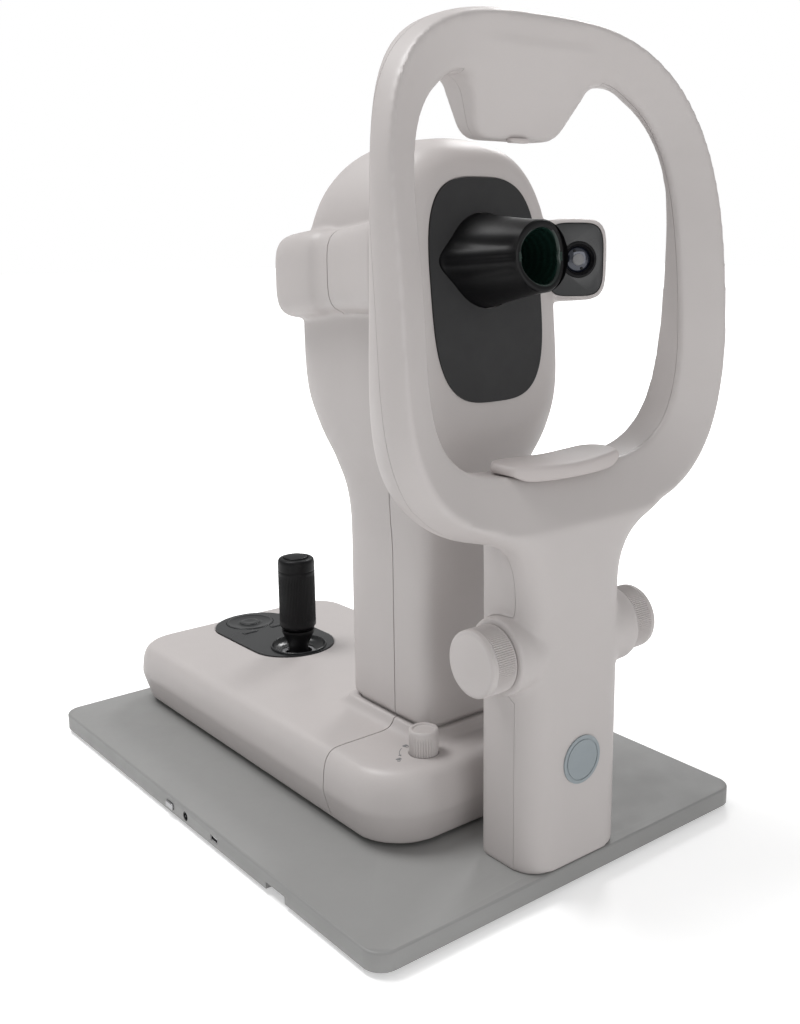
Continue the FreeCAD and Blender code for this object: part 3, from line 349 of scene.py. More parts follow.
def surface(name, rgb, rough, metal=0.0, mottle=0.05, fine=1500.0, bump=0.06, swing=0.06, wear=0.12,
            stretch=None, **shader):
    """Moulded or machined surface: blotchy colour, fine grain in the bump, uneven gloss, edges lightened for
    wear and as a painted highlight.
    """
    material = bpy.data.materials.new(name)
    material.use_nodes = True
    tree = material.node_tree
    bsdf = tree.nodes["Principled BSDF"]
    bsdf.inputs["Metallic"].default_value = metal
    for key, value in shader.items():
        bsdf.inputs[key.replace("_", " ")].default_value = value
    coords = tree.nodes.new("ShaderNodeTexCoord").outputs["Object"]
    blotch = remap(tree, grain(tree, coords, 9.0, 4.0), 0.35, 0.65, 0, 1)
    colour = blend_colour(tree, blotch, tone(rgb, 1 - mottle), tone(rgb, 1 + mottle))
    speck = remap(tree, grain(tree, coords, fine * 0.6, 2.0, stretch), 0.3, 0.7, 0, 1)
    colour = blend_colour(tree, remap(tree, speck, 0, 1, 0.0, 0.5), colour, tone(rgb, 1 - 1.6 * mottle))
    # Edges lightened by pointiness: partly wear, partly a painted highlight where the edges catch the light.
    edge = tree.nodes.new("ShaderNodeNewGeometry").outputs["Pointiness"]
    worn_and_highlit = remap(tree, edge, 0.53, 0.62, 0.0, wear)
    colour = blend_colour(tree, worn_and_highlit, colour, tone(rgb, 1.35))
    tree.links.new(colour, bsdf.inputs["Base Color"])
    smudge = grain(tree, coords, 45.0, 5.0, stretch)
    tree.links.new(remap(tree, smudge, 0.3, 0.7, rough - swing, rough + swing), bsdf.inputs["Roughness"])
    lift = add(tree, "Bump", Strength=bump, Distance=0.0004)
    tree.links.new(grain(tree, coords, fine, 3.0, stretch), lift.inputs["Height"])
    tree.links.new(lift.outputs["Normal"], bsdf.inputs["Normal"])
    return material


def bore_material():
    """Inside of the measuring cone: very dark green, with fine lighter rings across its axis."""
    material = surface("bore_rings", (0.004, 0.012, 0.009), 0.22, mottle=0.2, bump=0.03, wear=0.0)
    tree = material.node_tree
    bsdf = tree.nodes["Principled BSDF"]
    coords = tree.nodes.new("ShaderNodeTexCoord").outputs["Object"]
    waves = tree.nodes.new("ShaderNodeTexWave")
    waves.wave_type = "BANDS"
    waves.bands_direction = "Y"
    waves.inputs["Scale"].default_value = 60.0
    tree.links.new(coords, waves.inputs["Vector"])
    share = remap(tree, waves.outputs["Fac"], 0.55, 0.8, 0.0, 1.0)
    old = bsdf.inputs["Base Color"].links[0].from_socket
    tree.links.new(blend_colour(tree, share, old, (0.006, 0.020, 0.015, 1.0)), bsdf.inputs["Base Color"])
    return material


SHELL = dict(mottle=0.018, bump=0.05, fine=1500.0, swing=0.05, wear=0.10, Sheen_Weight=0.10,
             Sheen_Tint=(1.0, 0.86, 0.84, 1.0), Sheen_Roughness=0.4)
MATERIALS = {
    "shell_plastic": surface("shell_plastic", (0.485, 0.455, 0.446), 0.46, **SHELL),
    "pad_plastic": surface("pad_plastic", (0.490, 0.452, 0.442), 0.52, **SHELL),
    "plate_paint": surface("plate_paint", (0.265, 0.264, 0.260), 0.50, mottle=0.03, fine=2600.0,
                           bump=0.10, swing=0.07, wear=0.5),
    "dark_panel": surface("dark_panel", (0.019, 0.019, 0.020), 0.66, mottle=0.06, fine=2200.0, bump=0.12),
    "black_satin": surface("black_satin", (0.0042, 0.0042, 0.0048), 0.42, mottle=0.10, fine=1700.0, bump=0.07,
                           Specular_IOR_Level=0.20),
    "gloss_black": surface("gloss_black", (0.016, 0.017, 0.018), 0.24, mottle=0.08, bump=0.02, swing=0.05,
                           Specular_IOR_Level=0.4),
    "chrome": surface("chrome", (0.78, 0.78, 0.79), 0.10, metal=1.0, mottle=0.02, bump=0.02, swing=0.04),
    "steel": surface("steel", (0.48, 0.48, 0.49), 0.30, metal=1.0, mottle=0.05, fine=500.0, bump=0.10,
                     swing=0.10, stretch=(1.0, 1.0, 0.06)),
    "aluminium": surface("aluminium", (0.62, 0.62, 0.64), 0.36, metal=1.0, mottle=0.04, fine=700.0, bump=0.08,
                         stretch=(0.08, 1.0, 1.0)),
    "brass": surface("brass", (0.66, 0.50, 0.22), 0.28, metal=1.0, mottle=0.08, fine=600.0, bump=0.06),
    "rubber": surface("rubber", (0.030, 0.030, 0.031), 0.78, mottle=0.15, fine=1100.0, bump=0.25),
    "board": surface("board", (0.02, 0.12, 0.05), 0.35, mottle=0.15, fine=300.0, bump=0.10),
    "badge": surface("badge", (0.27, 0.305, 0.325), 0.42, metal=0.2, mottle=0.03, fine=1800.0, bump=0.05),
    "guide_plastic": surface("guide_plastic", (0.70, 0.70, 0.67), 0.45, mottle=0.03, fine=900.0, bump=0.08),
    "lens_glass": surface("lens_glass", (0.010, 0.012, 0.016), 0.05, mottle=0.1, bump=0.005, swing=0.02,
                          Coat_Weight=1.0, Coat_Roughness=0.03, Coat_Tint=(0.75, 0.8, 1.0, 1.0)),
}
ICON = surface("icon_print", (0.20, 0.20, 0.205), 0.5, mottle=0.08, bump=0.02, wear=0.0)
BORE = bore_material()
DISC = surface("lens_disc", (0.16, 0.16, 0.165), 0.35, mottle=0.05, bump=0.03)

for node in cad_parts.values():
    for slot in node.material_slots:
        slot.material = MATERIALS[slot.material.name.split(".")[0]]
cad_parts["power_button"].material_slots[0].material = MATERIALS["steel"]


def piece(obj, body, slot, *replaced, angle=34, material=None):
    """Finishes a piece: smooth shading, material, the body it rides on and what it stands for."""
    shaded(obj, angle)
    obj.data.materials.clear()
    obj.data.materials.append(material or MATERIALS[slot])
    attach(obj, body)
    if replaced:
        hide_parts(*replaced)
    return obj


# ------------------------------------------------------- frame: column and ring
def lean(z):
    """Depth of the frame's front surface at a height."""
    bow = 2 - 2 * np.clip((275 - z) / 28, 0, 1) ** 2
    return COL_FRONT + bow + np.maximum(0, z - LEAN_Z) ** 2 / (2 * LEAN_R)


def ring_back(z):
    """Depth of the ring's rear edge at a height."""
    rise = z - 434.0
    return np.minimum(-191.5 + np.where(rise > 0, 0.003, 0.0005) * rise ** 2, np.where(rise < 0, COL_REAR, 0))


def ring_loop(form, depth, drop=0.0):
    """Edge loop of the ring. depth(z) gives its Y."""
    half, low_b, low_n, top_b, top_n = form
    x, z = oval(half, top_b, top_n, 400, (low_b, low_n))
    z = z + RING_Z - drop
    return np.column_stack([x, depth(z), z])


def ring_solid():
    corners = [ring_loop(CREASE, lean),
               ring_loop(BULGE, lambda z: 0.55 * lean(z) + 0.45 * ring_back(z), BULGE_DROP),
               ring_loop(BACK, ring_back),
               ring_loop(INNER_REAR, ring_back, 1.0),
               ring_loop(INNER, lambda z: lean(z) + DISH)]
    sizes = (2.6, 11.0, 8.0, 2.2, 1.2)
    loops = []
    for i, corner in enumerate(corners):
        ends = []
        for other in (corners[i - 1], corners[(i + 1) % len(corners)]):
            d = other - corner
            ends.append(corner + d * np.minimum(sizes[i] / np.linalg.norm(d, axis=1), 0.48)[:, None])
        for s in np.linspace(0, 1, 7):
            loops.append((1 - s) ** 2 * ends[0] + 2 * s * (1 - s) * corner + s * s * ends[1])
    return skin("ring", loops, True)


def column_solid():
    """Column whose front half alone flares into the ring."""
    rows = [(17.0, COL_HALF), (200.0, COL_HALF)] + [tuple(r) for r in smooth_rows(NECK[2:], 6)]
    loops = []
    for z, w in rows:
        flat = round_rect(w, COL_FRONT, COL_REAR, 21, 7)
        share = np.clip((-196 - flat[:, 1]) / 22, 0, 1)
        flat[:, 0] *= (COL_HALF + (w - COL_HALF) * share ** 2 * (3 - 2 * share)) / w
        loops.append(level(flat, z))
    column = skin("column", loops)
    crease = ring_loop(CREASE, lean)[:, (0, 2)]
    return carve(column, prism("crease", crease.tolist(), -300, -100, axis=1))


def knob_place(side):
    """Frame on the chin knobs' axis: local Z points out to that side."""
    return Matrix(((0, 0, side, 0), (1, 0, 0, KNOB_Y), (0, 1, 0, KNOB_Z), (0, 0, 0, 1)))


def knob_boss(side):
    profile = fillet([(0, 30), (24.6, 30), (24.8, 42.0), (25.6, 45.5), (25.4, 53.0), (0, 53.0)],
                     (0, 1.5, 3, 1.2))
    return lathe("boss", [(max(r, 0.01), h) for r, h in profile], 96, knob_place(side))


def forehead_solid():
    corners = [(0, 532), (-72, 532), (-72, 514.5), (-49, 512.5), (-33.5, 478),
               (33.5, 478), (49, 512.5), (72, 514.5), (72, 532), (0, 532)]
    outline = fillet(corners, (0, 0, 13, 11, 11, 13, 0, 0), 10)[1:-1]
    loops = []
    rows = ((1.9, 0.0), (0.6, 0.5), (0.0, 1.9), (0.0, 10.0), (0.0, 20.0), (0.0, 30.0), (1.4, 60.0))
    for inset, depth in rows:
        row = []
        for x, z in outline:
            front = -182.7 - (0.44 if z < 518 else 0.37) * (z - 518)
            y = min(front + depth, -150.5 + 0.05 * depth)
            row.append((x * (1 - inset / 45), y, z + inset * (z < 500)))
        loops.append(row)
    return skin("forehead", loops)


def frame_region(extra):
    """Side outline of what lies in front of the frame's seam, round the knob boss too."""
    arc = [(KNOB_Y + (BOSS_R + extra) * math.cos(a), KNOB_Z + (BOSS_R + extra) * math.sin(a))
           for a in np.linspace(-math.pi / 2, math.pi / 2, 28)]
    low = [(COL_SEAM + extra, 5), (COL_SEAM + extra, 133 - extra)] + arc
    low += [(COL_SEAM + extra, 190.0 + extra), (COL_SEAM + extra, 240)]
    high = [(float(lean(z)) + 20 + extra, z) for z in np.arange(262.0, 600.0, 12.0)]
    region = prism("region", low + high + [(-320, 594), (-320, 5)], -200, 200)
    pad = [(-320, 470), (-156 + extra, 470), (-170 + extra, 528.0), (-320, 528.0)]
    return carve(region, prism("pad_region", pad, -57 - extra, 57 + extra), "UNION")


def neck_weight(p):
    """Where the frame's joins are smoothed: neck under the crease, knob bosses, forehead rest's brow."""
    x, y, z = p.T
    across = np.clip(np.abs(x) / CREASE[0], 0, 0.999)
    crease = RING_Z - CREASE[1] * (1 - across ** CREASE[2]) ** (1 / CREASE[2])
    neck = np.clip((z - 190) / 26, 0, 1) * np.clip((crease - 2 - z) / 9, 0, 1) * (np.abs(x) < 118)
    neck *= np.clip((-197 - y) / 12, 0, 1)
    ring = np.abs(np.hypot(y - KNOB_Y, z - KNOB_Z) - 28)
    boss = np.clip(1 - ring / 5, 0, 1) * (np.abs(x) < 46) * 0.12
    brow = np.clip(1 - np.abs(z - 515) / 11, 0, 1) * np.clip((82 - np.abs(x)) / 10, 0, 1)
    return np.maximum(np.maximum(neck, boss), brow)


solids = [ring_solid(), column_solid(), knob_boss(1), knob_boss(-1), forehead_solid()]
body = soft_union("frame_body", solids, 1.7)
relax(body, 3)
relax(body, 55, neck_weight)
relax(body, 2)
# Inside of the column, and the chin bar's way up out of it.
for half, y0, y1, z0, z1 in ((33, -222, -183.5, 10, 236), (6.2, -200.5, -186.8, 230, 300)):
    carve(body, prism("hollow", rectangle(half, y0, y1), z0, z1, axis=2))
front = carve(twin(body, "frame_front"), frame_region(0.0), "INTERSECT")
rear = carve(body, frame_region(0.3))
rear.name = "frame_rear"
piece(front, "stand", "shell_plastic", "frame_front_shell", "forehead_pad")
piece(rear, "stand", "shell_plastic", "frame_rear_cover", "forehead_rest")
rows = ((0.6, 479.4), (0, 478.4), (0, 477.4), (0.7, 476.7))
tab = skin("forehead_tab", [level(round_rect(8 - i, -168 + i, -161.5 - i, 2.4 - i * 0.5, 2.4 - i * 0.5, 5, 2),
                                  z) for i, z in rows])
piece(tab, "stand", "pad_plastic")


# ---------------------------------------------------------------- base housing
def deck_height(y, rise=1.0):
    return -DECK_DROP * rise * (y - BASE_Y0) / (BASE_Y1 - BASE_Y0)


def base_loops(inset, low_z):
    """Outlines of the base housing from low_z to the deck, drawn in by the inset."""
    rows = [(z, 7.0 + inset, 38 - inset, 27 - inset, 0.0) for z in (low_z, BASE_Z0 + 0.01)]
    rows += [(BASE_Z0 + 14, 2.6 + inset, 41 - inset, 30 - inset, 0.0)]
    for rise, shrink in BASE_RISE:
        rows.append((CREASE_Z + rise * (DECK_Z - CREASE_Z - inset), shrink + inset,
                     43 - 0.6 * shrink - inset, 32 - 0.6 * shrink - inset, rise))
    loops = []
    for z, shrink, front_r, rear_r, rise in rows:
        flat = round_rect(BASE_HALF - shrink, BASE_Y0 + shrink, BASE_Y1 - shrink, front_r, rear_r)
        loops.append(level(flat, z + deck_height(flat[:, 1], rise)))
    return loops


def tower_outline(out, front_r=20.0, rear_r=12.0):
    return round_rect(TOWER_HALF + out, TOWER_Y0 - out, TOWER_Y1 + out, front_r + out / 2, rear_r + out / 2)


def tower_hole(name, inset, z0, z1):
    return skin(name, [level(tower_outline(-inset, 16.5, 19.5), z) for z in (z0, z1)])


def panel_cutter():
    loops = []
    for out, z in ((0.15, -5.0), (0.15, -0.9), (1.9, 0.5), (1.9, 6.0)):
        flat = round_rect(36 + out, 86 - out, 220 + out, 35.9 + out, 35.9 + out, 24, 8)
        loops.append(level(flat, DECK_Z + z + deck_height(flat[:, 1])))
    return skin("panel_cutter", loops)


def base_weight(p):
    """The foot of the tower's collar."""
    x, y, z = p.T
    away = np.maximum(np.abs(x) - TOWER_HALF, np.maximum(TOWER_Y0 - y, y - TOWER_Y1))
    return np.clip(1 - np.abs(away - 12) / 8, 0, 1) * (z > 64) * (z < 76)


rows = smooth_rows(((60.0, 16.0), (69.0, 12.0), (72.5, 6.8), (76.0, 3.0), (80.0, 1.0)), 5)
collar = skin("collar", [level(tower_outline(out), z) for z, out in rows])
base = soft_union("base_body", [skin("base", base_loops(0, BASE_Z0)), collar], 1.7)
relax(base, 3)
relax(base, 28, base_weight)
carve(base, skin("base_hollow", base_loops(3.0, 8.0)))
carve(base, tower_hole("sleeve_hole", 2.9, 50.0, 95.0))
carve(base, panel_cutter())
for x, y, r in ((-51.0, -129.4, 10.65), (0.0, STICK_Y, 24.0)):
    carve(base, lathe("hole", [(r, 55), (r, 95)], 96, Matrix.Translation((x, y, 0))))
hole = [(-24, 190), (-24, 163), (24, 163), (24, 190)]
hole += [(22.5 * math.cos(a), NAV_Y - 1 + 22.5 * math.sin(a)) for a in np.linspace(0, math.pi, 24)]
carve(base, prism("button_hole", hole, 55, 95, axis=2))
for name, node, y0, y1 in (("base_front", "base_front_shell", -200, SEAM_Y - SEAM_GAP / 2),
                           ("base_rear", "base_rear_shell", SEAM_Y + SEAM_GAP / 2, 260)):
    part = prism("keep", rectangle(150, y0, y1), 0, 120, axis=2)
    piece(carve(twin(base, name), part, "INTERSECT"), "carriage", "shell_plastic", node)
bpy.data.objects.remove(base)


# -------------------------------------------------------------- measuring head
def face_y(z):
    """Depth of the head's tilted face at a height."""
    return FACE[0] + (z - FACE[1]) * (FACE[2] - FACE[0]) / (FACE[3] - FACE[1])


def head_solid():
    """Tower and head in one, with the face cut flat."""
    tower = [(z, TOWER_HALF, TOWER_Y0, TOWER_Y1) for z in (82.0, 82.4, 150.0)]
    rows = np.vstack([tower, smooth_rows(HEAD_FORM, 9)])
    t = TAU * np.arange(192) / 192
    loops = []
    for z, w, y0, y1 in rows:
        n = 6.0 - 2.1 * np.clip((z - 205) / 60, 0, 1)
        depth = np.where(np.sin(t) > 0, y1 - SEAM_Y, SEAM_Y - y0)
        r = (np.abs(np.cos(t) / w) ** n + np.abs(np.sin(t) / depth) ** n) ** (-1 / n)
        y = SEAM_Y + r * np.sin(t)
        y = np.maximum(y, face_y(z)) if z > 223 else y
        loops.append(np.column_stack([r * np.cos(t), y, np.full(192, z)]))
    return skin("head", loops)


def pod_loop(half_w, half_h, back, side):
    """Outline square to a pod's face, at a distance behind it."""
    u, w = oval(half_w, half_h, POD_N, 96)
    spots = [POD_MID + POD_ALONG * a + Vector((0, 0, b)) - POD_OUT * back for a, b in zip(u, w)]
    return np.array([(side * p.x, p.y, p.z) for p in spots])


def pod_solid(side):
    front = [pod_loop(POD_HALF_W - d, POD_HALF_H - d, back, side)
             for d, back in ((3.2, 0), (1.4, 0.5), (0.35, 1.8))]
    rows = [pod_loop(POD_HALF_W, POD_HALF_H, 4.0, side)]
    for y, x, half_w, z, half_h in POD_ROWS:
        u, w = oval(half_w, half_h, POD_N, 96)
        rows.append(np.column_stack([side * (x + u), np.full(96, y), z + w]))
    return skin("pod", front + list(smooth_rows(rows, 5)))


def pod_place(side, back):
    """Frame at the lens on a pod's face: local Z points out of the face."""
    spot = POD_MID + POD_ALONG * 2.5 - POD_OUT * back
    across, out = Vector((side * POD_ALONG.x, POD_ALONG.y, 0)), Vector((side * POD_OUT.x, POD_OUT.y, 0))
    up = out.cross(across)
    rows = [(across[i], up[i], out[i], (side * spot.x, spot.y, spot.z)[i]) for i in range(3)]
    return Matrix(rows + [(0, 0, 0, 1)])


def face_place(y, z):
    """Frame on the tilted face of the head: local Z points at the patient."""
    tilt = math.atan2(FACE[2] - FACE[0], FACE[3] - FACE[1])
    return Matrix.Translation((0, y, z)) @ Matrix.Rotation(math.pi / 2 - tilt, 4, "X")


def head_weight(p):
    """The rounded border of the face, outside its flat middle and the pods."""
    x, y, z = p.T
    near = np.clip(1 - (y - face_y(z) - 3) / 16, 0, 1) * np.clip((z - 268) / 20, 0, 1)
    inside = (np.abs(x) / 52) ** PANEL[3] + (np.abs(z - PANEL[0]) / 78) ** PANEL[3]
    pod = (np.abs(x) > 52) & (z > 366) & (z < 440)
    return near * (inside > 1) * np.where(pod, 0.0, 1.0)


head = soft_union("head_body", [head_solid(), pod_solid(1), pod_solid(-1)], 1.6)
relax(head, 3)
relax(head, 26, head_weight)
relax(head, 2)
carve(head, tower_hole("tower_hollow", 2.8, 70.0, 252.0))
x, z = oval(PANEL[1] + 0.25, PANEL[2] + 0.25, PANEL[3], 200)
panel_spot = np.array(face_place(face_y(PANEL[0]), PANEL[0]))
cutter = np.array([np.column_stack([x, z, np.full(200, d)]) for d in (-1.35, 8.0)])
carve(head, skin("panel_cutter", cutter @ panel_spot[:3, :3].T + panel_spot[:3, 3]))
for side in (1, -1):
    window = [pod_loop(POD_HALF_W - 3.15, POD_HALF_H - 3.15, back, side) for back in (2.35, -6.0)]
    carve(head, skin("window_cutter", window))
    carve(head, lathe("lens_hole", [(12.9, -6.2), (12.9, 6)], 72, pod_place(side, 0)))
for name, node, end, gap, start in (("head_front", "head_front_shell", -200, -SEAM_GAP / 2, 79.0),
                                    ("head_rear", "head_rear_shell", 60, SEAM_GAP / 2, 78.6)):
    path = [(SEAM_Y + gap + shift, z) for z, shift in HEAD_SEAM]
    part = prism("keep", path + [(end, 500), (end, 60)], -150, 150)
    behind = POD_SEAM_Y + gap
    for x0, x1 in ((start, 151), (-151, -start)):
        pod_part = prism("pod_part", [(-201, 345), (behind, 345), (behind, 445), (-201, 445)], x0, x1)
        carve(part, pod_part, "DIFFERENCE" if gap > 0 else "UNION")
    piece(carve(twin(head, name), part, "INTERSECT"), "head", "shell_plastic", node)
bpy.data.objects.remove(head)

for side, tag in ((1, "right"), (-1, "left")):
    window = [pod_loop(POD_HALF_W - 3.35 - d, POD_HALF_H - 3.35 - d, back, side)
              for d, back in ((0.0, 2.3), (0.0, 0.75), (0.25, 0.45), (0.6, 0.3))]
    plate = skin("pod_window_" + tag, window)
    carve(plate, lathe("lens_hole", [(12.6, -8), (12.6, 6)], 96, pod_place(side, 0)))
    piece(plate, "head", "gloss_black", *(("pod_windows",) if side > 0 else ()))
    bezel = fillet([(12.5, -6), (12.5, 0.3), (10.9, 0.9), (10.3, -1.2), (9.0, -2.2), (8.8, -6)],
                   (0.6, 0.5, 0.6, 0.5), 5)
    piece(lathe("lens_bezel_" + tag, bezel, 96, pod_place(side, 0), closed=True), "head", "black_satin")
    glass = [(8.85, -6.0)]
    glass += [(8.85 * math.cos(a), -3.6 + 2.2 * math.sin(a)) for a in np.linspace(0, 1.5, 12)]
    piece(lathe("lens_glass_" + tag, glass, 72, pod_place(side, 0)), "head", "lens_glass",
          *(("pod_lenses", "pod_cameras") if side > 0 else ()))
    disc = fillet([(0.01, -2.0), (4.1, -2.0), (4.1, -0.7), (0.01, -0.7)], (0.1, 0.4), 4)
    piece(lathe("lens_centre_" + tag, disc, 48, pod_place(side, 0)), "head", "gloss_black", material=DISC)
    for i, angle in enumerate((2.0, 5.1)):
        spot = pod_place(side, 0) @ Matrix.Translation((6.6 * math.cos(angle), 6.6 * math.sin(angle), -1.4))
        dot = fillet([(0.01, -1.0), (1.0, -1.0), (1.0, 0.0), (0.01, 0.0)], (0.1, 0.35), 4)
        piece(lathe("lens_pin_%s_%d" % (tag, i), dot, 24, spot), "head", "black_satin")


# ------------------------------------------------------------- measuring cone
def cone_rows():
    """Closed loops of the cone: out along its fluted side, round the shaped lip and back down the bore."""
    t = TAU * np.arange(192) / 192
    side, sine = np.abs(np.cos(t)), np.sin(t)
    ridge = side ** 16
    flute = np.exp(-((np.abs(sine) - 0.36) / 0.15) ** 2) * (side > 0.5)
    groove = np.exp(-(sine / 0.055) ** 2) * (side > 0.5)
    loops = []

    def ring(s, r, y=None, wide=1.0):
        y = CONE_Y - CONE_DEPTH * s if y is None else y
        loops.append(np.column_stack([r * wide * np.cos(t), y + 0 * t, CONE_Z + r * np.sin(t)]))

    for s in np.linspace(0, 0.97, 34):
        base = 22.3 + 8.7 * (1 - s) ** 1.25 if s > 0.1 else 31.0 - 8.0 * s
        swell = 8.4 * (1 - s) ** 2.2 if s > 0.08 else 8.2
        ripple = min(1, s / 0.2) * min(1, (1 - s) / 0.15)
        ring(s, base + swell * ridge - (1.5 * flute + 0.8 * groove) * ripple)
    saddle = 3.2 * side ** 2
    notch = 1.3 * np.exp(-(sine / 0.17) ** 2)
    wide = 0.93
    lip = ((22.2, -188.2), (22.0, -189.3), (21.3, -189.9), (20.2, -190.0), (18.6, -189.8), (17.6, -189.2))
    for r, y in lip:
        ring(1, r - notch * (22.2 - r) / 4.5, y + saddle, 1 - (1 - wide) * (y < -188.5))
    for s in np.linspace(0.03, 1.0, 26):
        r = (17.1 - notch * (1 - s) ** 3) * (1 - s) + 8.0 * s
        ring(1, r, -189 + 59 * s + saddle * (1 - s) ** 2, wide + (1 - wide) * s)
    return np.array(loops)


there = Matrix.Translation((0, CONE_Y, CONE_Z))
turn = np.array(there @ Matrix.Rotation(CONE_TILT, 4, "X") @ Matrix.Translation((0, -CONE_Y, -CONE_Z)))
cone = skin("placido_cone_body", cone_rows() @ turn[:3, :3].T + turn[:3, 3], True)
piece(cone, "head", "black_satin", "placido_cone", angle=50)
cone.data.materials.append(BORE)
for face in cone.data.polygons:
    c = np.array(face.center) / MM
    out = math.hypot(c[0], (c[2] - CONE_Z) - (c[1] - CONE_Y) * math.tan(CONE_TILT))
    reach = (CONE_Y - c[1]) / CONE_DEPTH
    if out < 18.2 - 8.5 * (1 - reach) and c[1] < -130.5:
        face.material_index = 1


# ------------------------------------------------------------------ chin rest
def chin_solid():
    half, r = CHIN_HALF, 14.0
    bow = [(x, -222 + 9 * (x / half) ** 2) for x in np.linspace(-half, half, 49)]
    corner_r = [(half - r + r * math.cos(a), CHIN_REAR - r + r * math.sin(a))
                for a in np.linspace(0, math.pi / 2, 12)]
    back = [(x, CHIN_REAR) for x in np.linspace(half - r, r - half, 40)[1:-1]]
    corner_l = [(-x, y) for x, y in corner_r[::-1]]
    outline = np.array(bow + corner_r + back + corner_l)
    centre = np.array([0, -204.0])
    front_corner = np.array([1 - 0.035 * max(0, abs(x) / half - 0.86) / 0.14 * (y < -205)
                             for x, y in outline])

    def ring(inset, height):
        """Outline drawn in by the inset. height(x, y) gives its Z."""
        d = outline - centre
        size = np.linalg.norm(d, axis=1)
        edge = min(inset, 5.0)
        flat = centre + d * (front_corner * (1 - edge / size) * (1 - (inset - edge) / 32))[:, None] * 0.992
        return level(flat, height(flat[:, 0], flat[:, 1]))

    def top(x, y):
        return 285.6 + x ** 2 / 3600 - 0.8 * np.exp(-(x / 26) ** 2) - 0.045 * np.clip(-200 - y, 0, 30)

    def under(x, y):
        lip = 274.3 + 1.4 * (x / 52) ** 2
        return lip + np.clip((y + 216.5) / 4.0, 0, 1) * (279.0 + 0.5 * (x / 52) ** 2 - lip)

    loops = []
    for inset, up in ((34, 0), (22, 0), (12, 0), (7.5, 0), (4.2, 0), (2.0, 0.1), (0.9, 0.5), (0.25, 1.1),
                      (0.0, 2.2)):
        loops.append(ring(inset, lambda x, y: under(x, y) + up))
    for share in (0.3, 0.5, 0.7):
        loops.append(ring(0.0, lambda x, y: (1 - share) * (under(x, y) + 2.2) + share * (top(x, y) - 3.2)))
    for inset, down in ((0.0, 3.2), (0.2, 2.1), (0.7, 1.2), (1.4, 0.55), (2.4, 0.15), (4.0, 0), (9, 0),
                        (15, 0), (24, 0), (33, 0)):
        loops.append(ring(inset, lambda x, y: top(x, y) - down))
    return skin("chin_rest_body", loops)


piece(relax(chin_solid(), 2), "chin_carriage", "pad_plastic", "chin_rest", angle=60)


# ----------------------------------------------------------------- hand knobs
def knurl(radius, low, high, ribs, depth):
    """Radius with fine ribs between two heights, fading out over half a millimetre at the ends."""
    def swell(r, h, t):
        share = np.clip(min(h - low, high - h) / 0.5, 0, 1)
        wave = np.abs(((t * ribs / TAU) % 1.0) * 2 - 1) ** 0.6
        return np.full(len(t), float(r)) - depth * share * (1 - wave) * (abs(r - radius) < 0.8)
    return swell


for side, tag in ((1, "right"), (-1, "left")):
    line = [(0.01, 53.4), (20.2, 53.4), (21.2, 53.6)]
    line += [(KNOB_R, h) for h in (54.1, 54.3, 54.4, 54.9, 57, 60, 63, 66.0, 68.3, 68.8, 69.0)]
    line += fillet([(KNOB_R, 69.2), (21.4, 73.0), (0.01, 73.0)], (2.7,), 10)
    knob = lathe("chin_knob_" + tag, line, 864, knob_place(side), knurl(KNOB_R, 54.4, 69.0, KNOB_RIBS, 0.95))
    piece(knob, "chin_drive", "shell_plastic", *(("chin_knobs",) if side > 0 else ()), angle=60)

low, high = (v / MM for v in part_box("lock_knob"))
lock_x, lock_y, top = (low.x + high.x) / 2, (low.y + high.y) / 2, high.z
line = [(0.01, 62), (5.0, 62), (5.0, 67.9), (9.4, 68.0)]
line += [(LOCK_R, h) for h in np.linspace(68.3, top - 4.0, 8)]
line += fillet([(LOCK_R, top - 3.4), (10.1, top), (7.6, top), (7.2, top - 1.1), (0.01, top - 1.3)],
               (1.8, 0.7, 0.5), 6)
lock = lathe("lock_knob_body", line, 448, Matrix.Translation((lock_x, lock_y, 0)),
             knurl(LOCK_R, 66, top - 3.9, 32, 0.8))
piece(lock, "lock_knob", "shell_plastic", "lock_knob", angle=60)


# ------------------------------------------------------------------- joystick
def at_stick(name, profile, seg, swell=None, closed=False):
    """Turned form on the joystick's upright axis."""
    return lathe(name, profile, seg, Matrix.Translation((0, STICK_Y, 0)), swell, closed)


line = [(5.2, 86.6)] + fillet([(12.6, 86.6), (GRIP_R, 89.6), (GRIP_R, 92.0)], (1.6,), 6)
line += [(GRIP_R, h) for h in np.linspace(93.0, 136.5, 24)]
line += [(GRIP_R, 138.2), (15.15, 138.6), (15.15, 139.2), (GRIP_R, 139.6)]
line += fillet([(GRIP_R, 140.0), (15.4, 149.0), (10.9, 149.6), (10.5, 148.7), (10.5, 141.0)],
               (4.2, 0.5, 0.3), 8)
line += [(5.2, 141.0)]
piece(at_stick("joystick_grip_body", line, 576, knurl(GRIP_R, 94.0, 136.0, 72, 0.32), closed=True),
      "joystick_grip", "black_satin", "joystick_grip", angle=60)
button = fillet([(0.01, 143.4), (10.0, 143.4), (10.0, 150.6), (0.01, 151.2)], (0.2, 1.6), 8)
piece(at_stick("joystick_button_body", button, 96), "joystick_button", "black_satin", "joystick_button")
stem = [(0.01, 52.6)]
stem += [(9.4 * math.sin(a), PIVOT_Z - 9.4 * math.cos(a)) for a in np.linspace(0.3, 2.0, 14)]
stem += fillet([(8.2, 67.5), (8.6, 72.0), (13.9, 83.8), (14.2, 85.9), (0.01, 86.2)], (2.0, 1.2, 0.5), 6)
piece(at_stick("joystick_stem_body", stem, 96), "joystick_stem", "black_satin", "joystick_stem")
bowl = fillet([(23.8, 66.5), (23.8, 71.6), (22.9, 72.1), (21.4, 68.6), (17.0, 66.6), (14.2, 66.2),
               (14.2, 65.4), (23.0, 65.4)], (0.3, 0.6, 2.2, 1.4, 0.2, 0.2), 6)
piece(at_stick("joystick_bowl", bowl, 96, closed=True), "carriage", "gloss_black")


